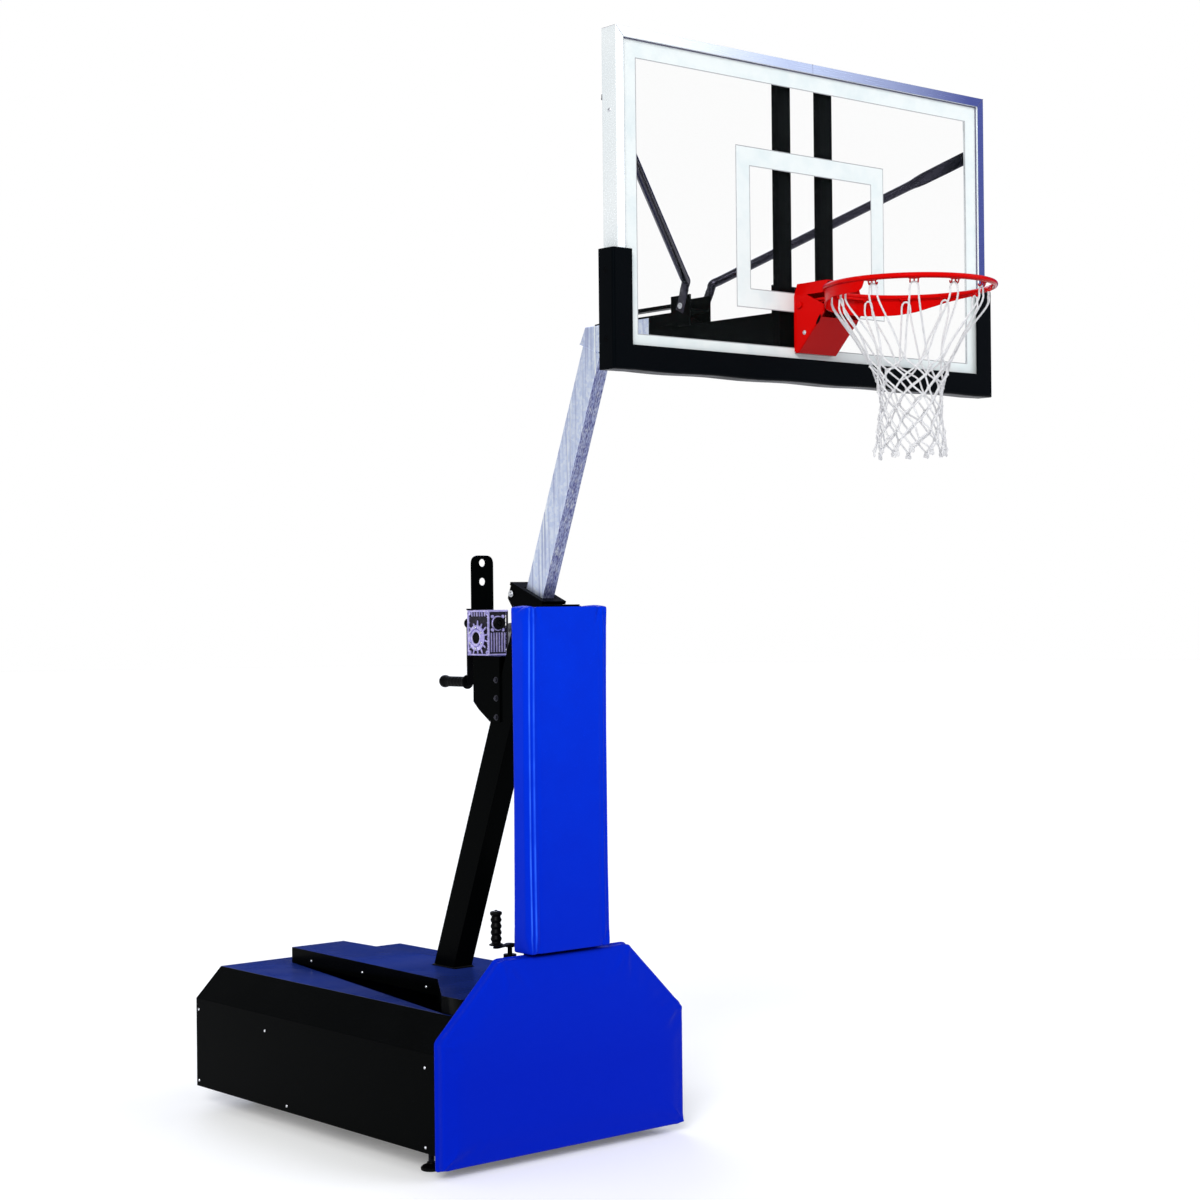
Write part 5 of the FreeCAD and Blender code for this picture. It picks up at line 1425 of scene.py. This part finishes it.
def net(centre, mid, rod):
    """Cords hang from the hooks in long loops, then cross in rows of diamonds to the tips."""
    heights = [z for z, _ in NET_RADII][::-1]
    radii = [r for _, r in NET_RADII][::-1]

    def radius(z):
        return float(np.interp(z / MM, heights, radii)) * MM

    def joint(row, index):
        key = (row, index % 24)
        if key not in joints:
            z = JOINT_TOP - (row - 1) * JOINT_STEP + chance.uniform(-8, 8) * MM
            angle = math.radians(15 + 15 * index) + chance.uniform(-0.08, 0.08)
            r = radius(z) + chance.uniform(-6, 3) * MM
            joints[key] = (angle, r, z)
        return joints[key]

    def at(angle, r, z):
        across, over = polar(r, angle)
        return Vector((centre.x + across, centre.y + over, z))

    joints = {}
    cords, wraps = Form(), Form()
    hang = centre.z - rod - 9 * MM
    for hook in range(12):
        legs = []
        for way in (-1, 1):
            leg = []
            for row in range(1, JOINT_ROWS + 1):
                angle, r, z = joint(row, 2 * hook + way * row)
                over = 1.7 * MM * (1 if (row % 2 == 0) == (way > 0) else -1)
                leg.append(at(angle, r + over, z))
            legs.append(leg)
        angle = math.radians(15 + 30 * hook)
        hook_r = mid - 18 * MM
        spread = 11 * MM / hook_r
        slack = chance.uniform(-4, 4) * MM
        arch = [at(angle + spread * turn, hook_r - inward * MM, hang - drop * MM) for turn, inward, drop in
                ((-1.25, 6, 44), (-1.1, 0, 14), (-0.6, 0, 0), (0.6, 0, 0), (1.1, 0, 14), (1.25, 6, 44))]
        bow = []
        for way, leg in ((-1, legs[0]), (1, legs[1])):
            start = arch[0] if way < 0 else arch[-1]
            middle = start.lerp(leg[0], 0.55)
            toward = Vector((centre.x, centre.y, middle.z)) - middle
            bow.append(middle + toward.normalized() * (6 * MM + slack))
        path = legs[0][::-1] + [bow[0]] + arch + [bow[1]] + legs[1]
        net_cord(cords, even_steps(smooth_path(path, 8), 3.2 * MM), CORD)
    # a wrap where two cords cross, and a looped tip below each last joint
    for (row, index), (angle, r, z) in sorted(joints.items()):
        out = Vector((*polar(1, angle), 0))
        side = Z.cross(out)
        spot = at(angle, r, z)
        for lift in (-1.6, 1.4):
            wraps.tube([spot + side * 4.4 * MM * math.cos(a) + out * 4.6 * MM * math.sin(a)
                        + Z * (lift + 0.9 * math.cos(a + lift)) * MM
                        for a in np.linspace(0, TURN, 14, False)], 1.55 * MM, 6, True)
        if row == JOINT_ROWS:
            for way in (-1, 1):
                drop = chance.uniform(12, 18) * MM
                lobe = [spot + side * way * aside * MM - Z * drop * share for aside, share in
                        ((0, 0), (6, 0.55), (6.5, 1), (2.4, 1.02), (1.5, 0.5), (0, 0))]
                net_cord(cords, even_steps(smooth_path(lobe, 6), 2.6 * MM), CORD * 0.9)
    cords.piece("net_cords", "cord", "rim", "net_cord", ["net"], 80, False)
    wraps.piece("net_joints", "cord", "rim", "net_cord", (), 80, False)


BRACKET_FRONT, BRACKET_SHOULDER = -1041 * MM, 2723 * MM
SLOT_RADIUS = 89 * MM  # round the hinge
STOP_BOLT = (-1077 * MM, 2614 * MM)


def rim_bracket_details():
    """Curved slots as dark strips of painted shade, stop bolts on the bracket's side plates, weld beads, and the
    folded top.
    """
    low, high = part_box("rim_bracket")
    slots, bolts, welds = Form(), Form(), Form()
    hinge, front = joint_at("rim_breakaway"), BRACKET_FRONT
    for side in (-1, 1):
        x = side * (high.x + 0.05 * MM)
        # each slot is a flat dark strip on the plate: painted shade in the opening
        arc = [Vector((x, hinge.y, hinge.z)) + Vector((0, *polar(SLOT_RADIUS, a)))
               for a in np.radians(np.linspace(203, 224, 9))]
        slots.tube(arc, [w * MM for w in (1.5, 3.4, 4.4, 4.8, 5, 4.8, 4.4, 3.4, 1.5)], 10, flat=[0.35 * MM] * 9,
                   hint=(0, 1, 1))
        bolts.bolt(facing((side * high.x, *STOP_BOLT), X * side), 4.6 * MM, 4 * MM)
        welds.tube([Vector((side * (high.x - 1 * MM), front - 0.5 * MM, z * MM))
                    for z in np.linspace(2566, 2716, 40)], 2.2 * MM, 8)
    # folded top with chamfered sides
    inner, skin, shoulder = 64 * MM, 4 * MM, BRACKET_SHOULDER
    section = [(low.x, shoulder), (-inner, high.z), (inner, high.z), (high.x, shoulder), (high.x - skin, shoulder),
               (inner - skin, high.z - skin), (-inner + skin, high.z - skin), (low.x + skin, shoulder)]
    at = Matrix.Translation((0, front, 0)) @ Matrix.Rotation(math.pi / 2, 4, "X")
    shell = Form().prism(section, front - low.y, at, 0.8 * MM)
    shell.piece("rim_bracket_top", "orange", "carriage", "rim_orange")
    slots.piece("rim_slot_shade", "dark", "carriage", "rim_orange")
    bolts.piece("rim_side_bolts", "bright", "carriage", "zinc_fasteners")
    welds.piece("rim_welds", "orange", "carriage", "rim_orange")


# ---------------------------------------------------------------- build

make_camera()
make_world()
make_sun("key", (0.70, 0.62, -0.50), 2.5, (1.0, 1.0, 1.0), 25)
make_sun("fill", (-0.55, 0.60, -0.45), 0.8, (0.96, 0.97, 1.0), 50)
make_sun("back", (-0.35, -0.85, -0.55), 0.8, (0.80, 0.84, 1.0), 30)

disc = [(*polar(FLOOR_RADIUS, TURN * k / 64), 0) for k in range(64)]
floor = in_scene("floor", Form().add(disc, [range(64)]).mesh("floor"))
floor.data.materials.append(looks["floor"].material)

dress("enamel", "side_cover_left", "side_cover_right", "centre_cover", "rear_panel", "mast_outer",
      "winch_cheek_left", "winch_cheek_right", "winch_seat")
dress("boom_paint", "boom", "boom_plate", "tie_bar", "brace_bracket", "upright_left", "upright_right",
      "mast_collar")
dress("frame_paint", "base_frame", "front_panel", "column_channel", "jack_tube", "jack_leg", "jack_crank",
      "crank_arm")
dress("concrete", "ballast_blocks", bevel=0.006)
dress("zinc", "upper_mast", bevel=0.007, segments=4)
dress("bright", "wheel_axles", bevel=0)
dress("steel", "worm_shaft", "hoist_drum", "sheave", bevel=0.0005)
dress("bronze", "worm_wheel", bevel=0)
dress("nylon", "mast_guides", "slider_shoe")
dress("anodised", "board_frame", bevel=0.0015)
dress("glass", "glass", bevel=0)
dress("orange", "rim_bracket", "rim_cover", "rim_pin", bevel=0.0014)

column_pad()
base_pad()
edge_guard()
base_details()
gearbox()
winch_details()
hoist_rope()
crank_grip()
jack_grip()
mast_details()
board_details()
braces()
ring_centre, ring_mid, ring_rod = rim()
net_hooks(ring_centre, ring_mid, ring_rod)
net(ring_centre, ring_mid, ring_rod)
rim_bracket_details()
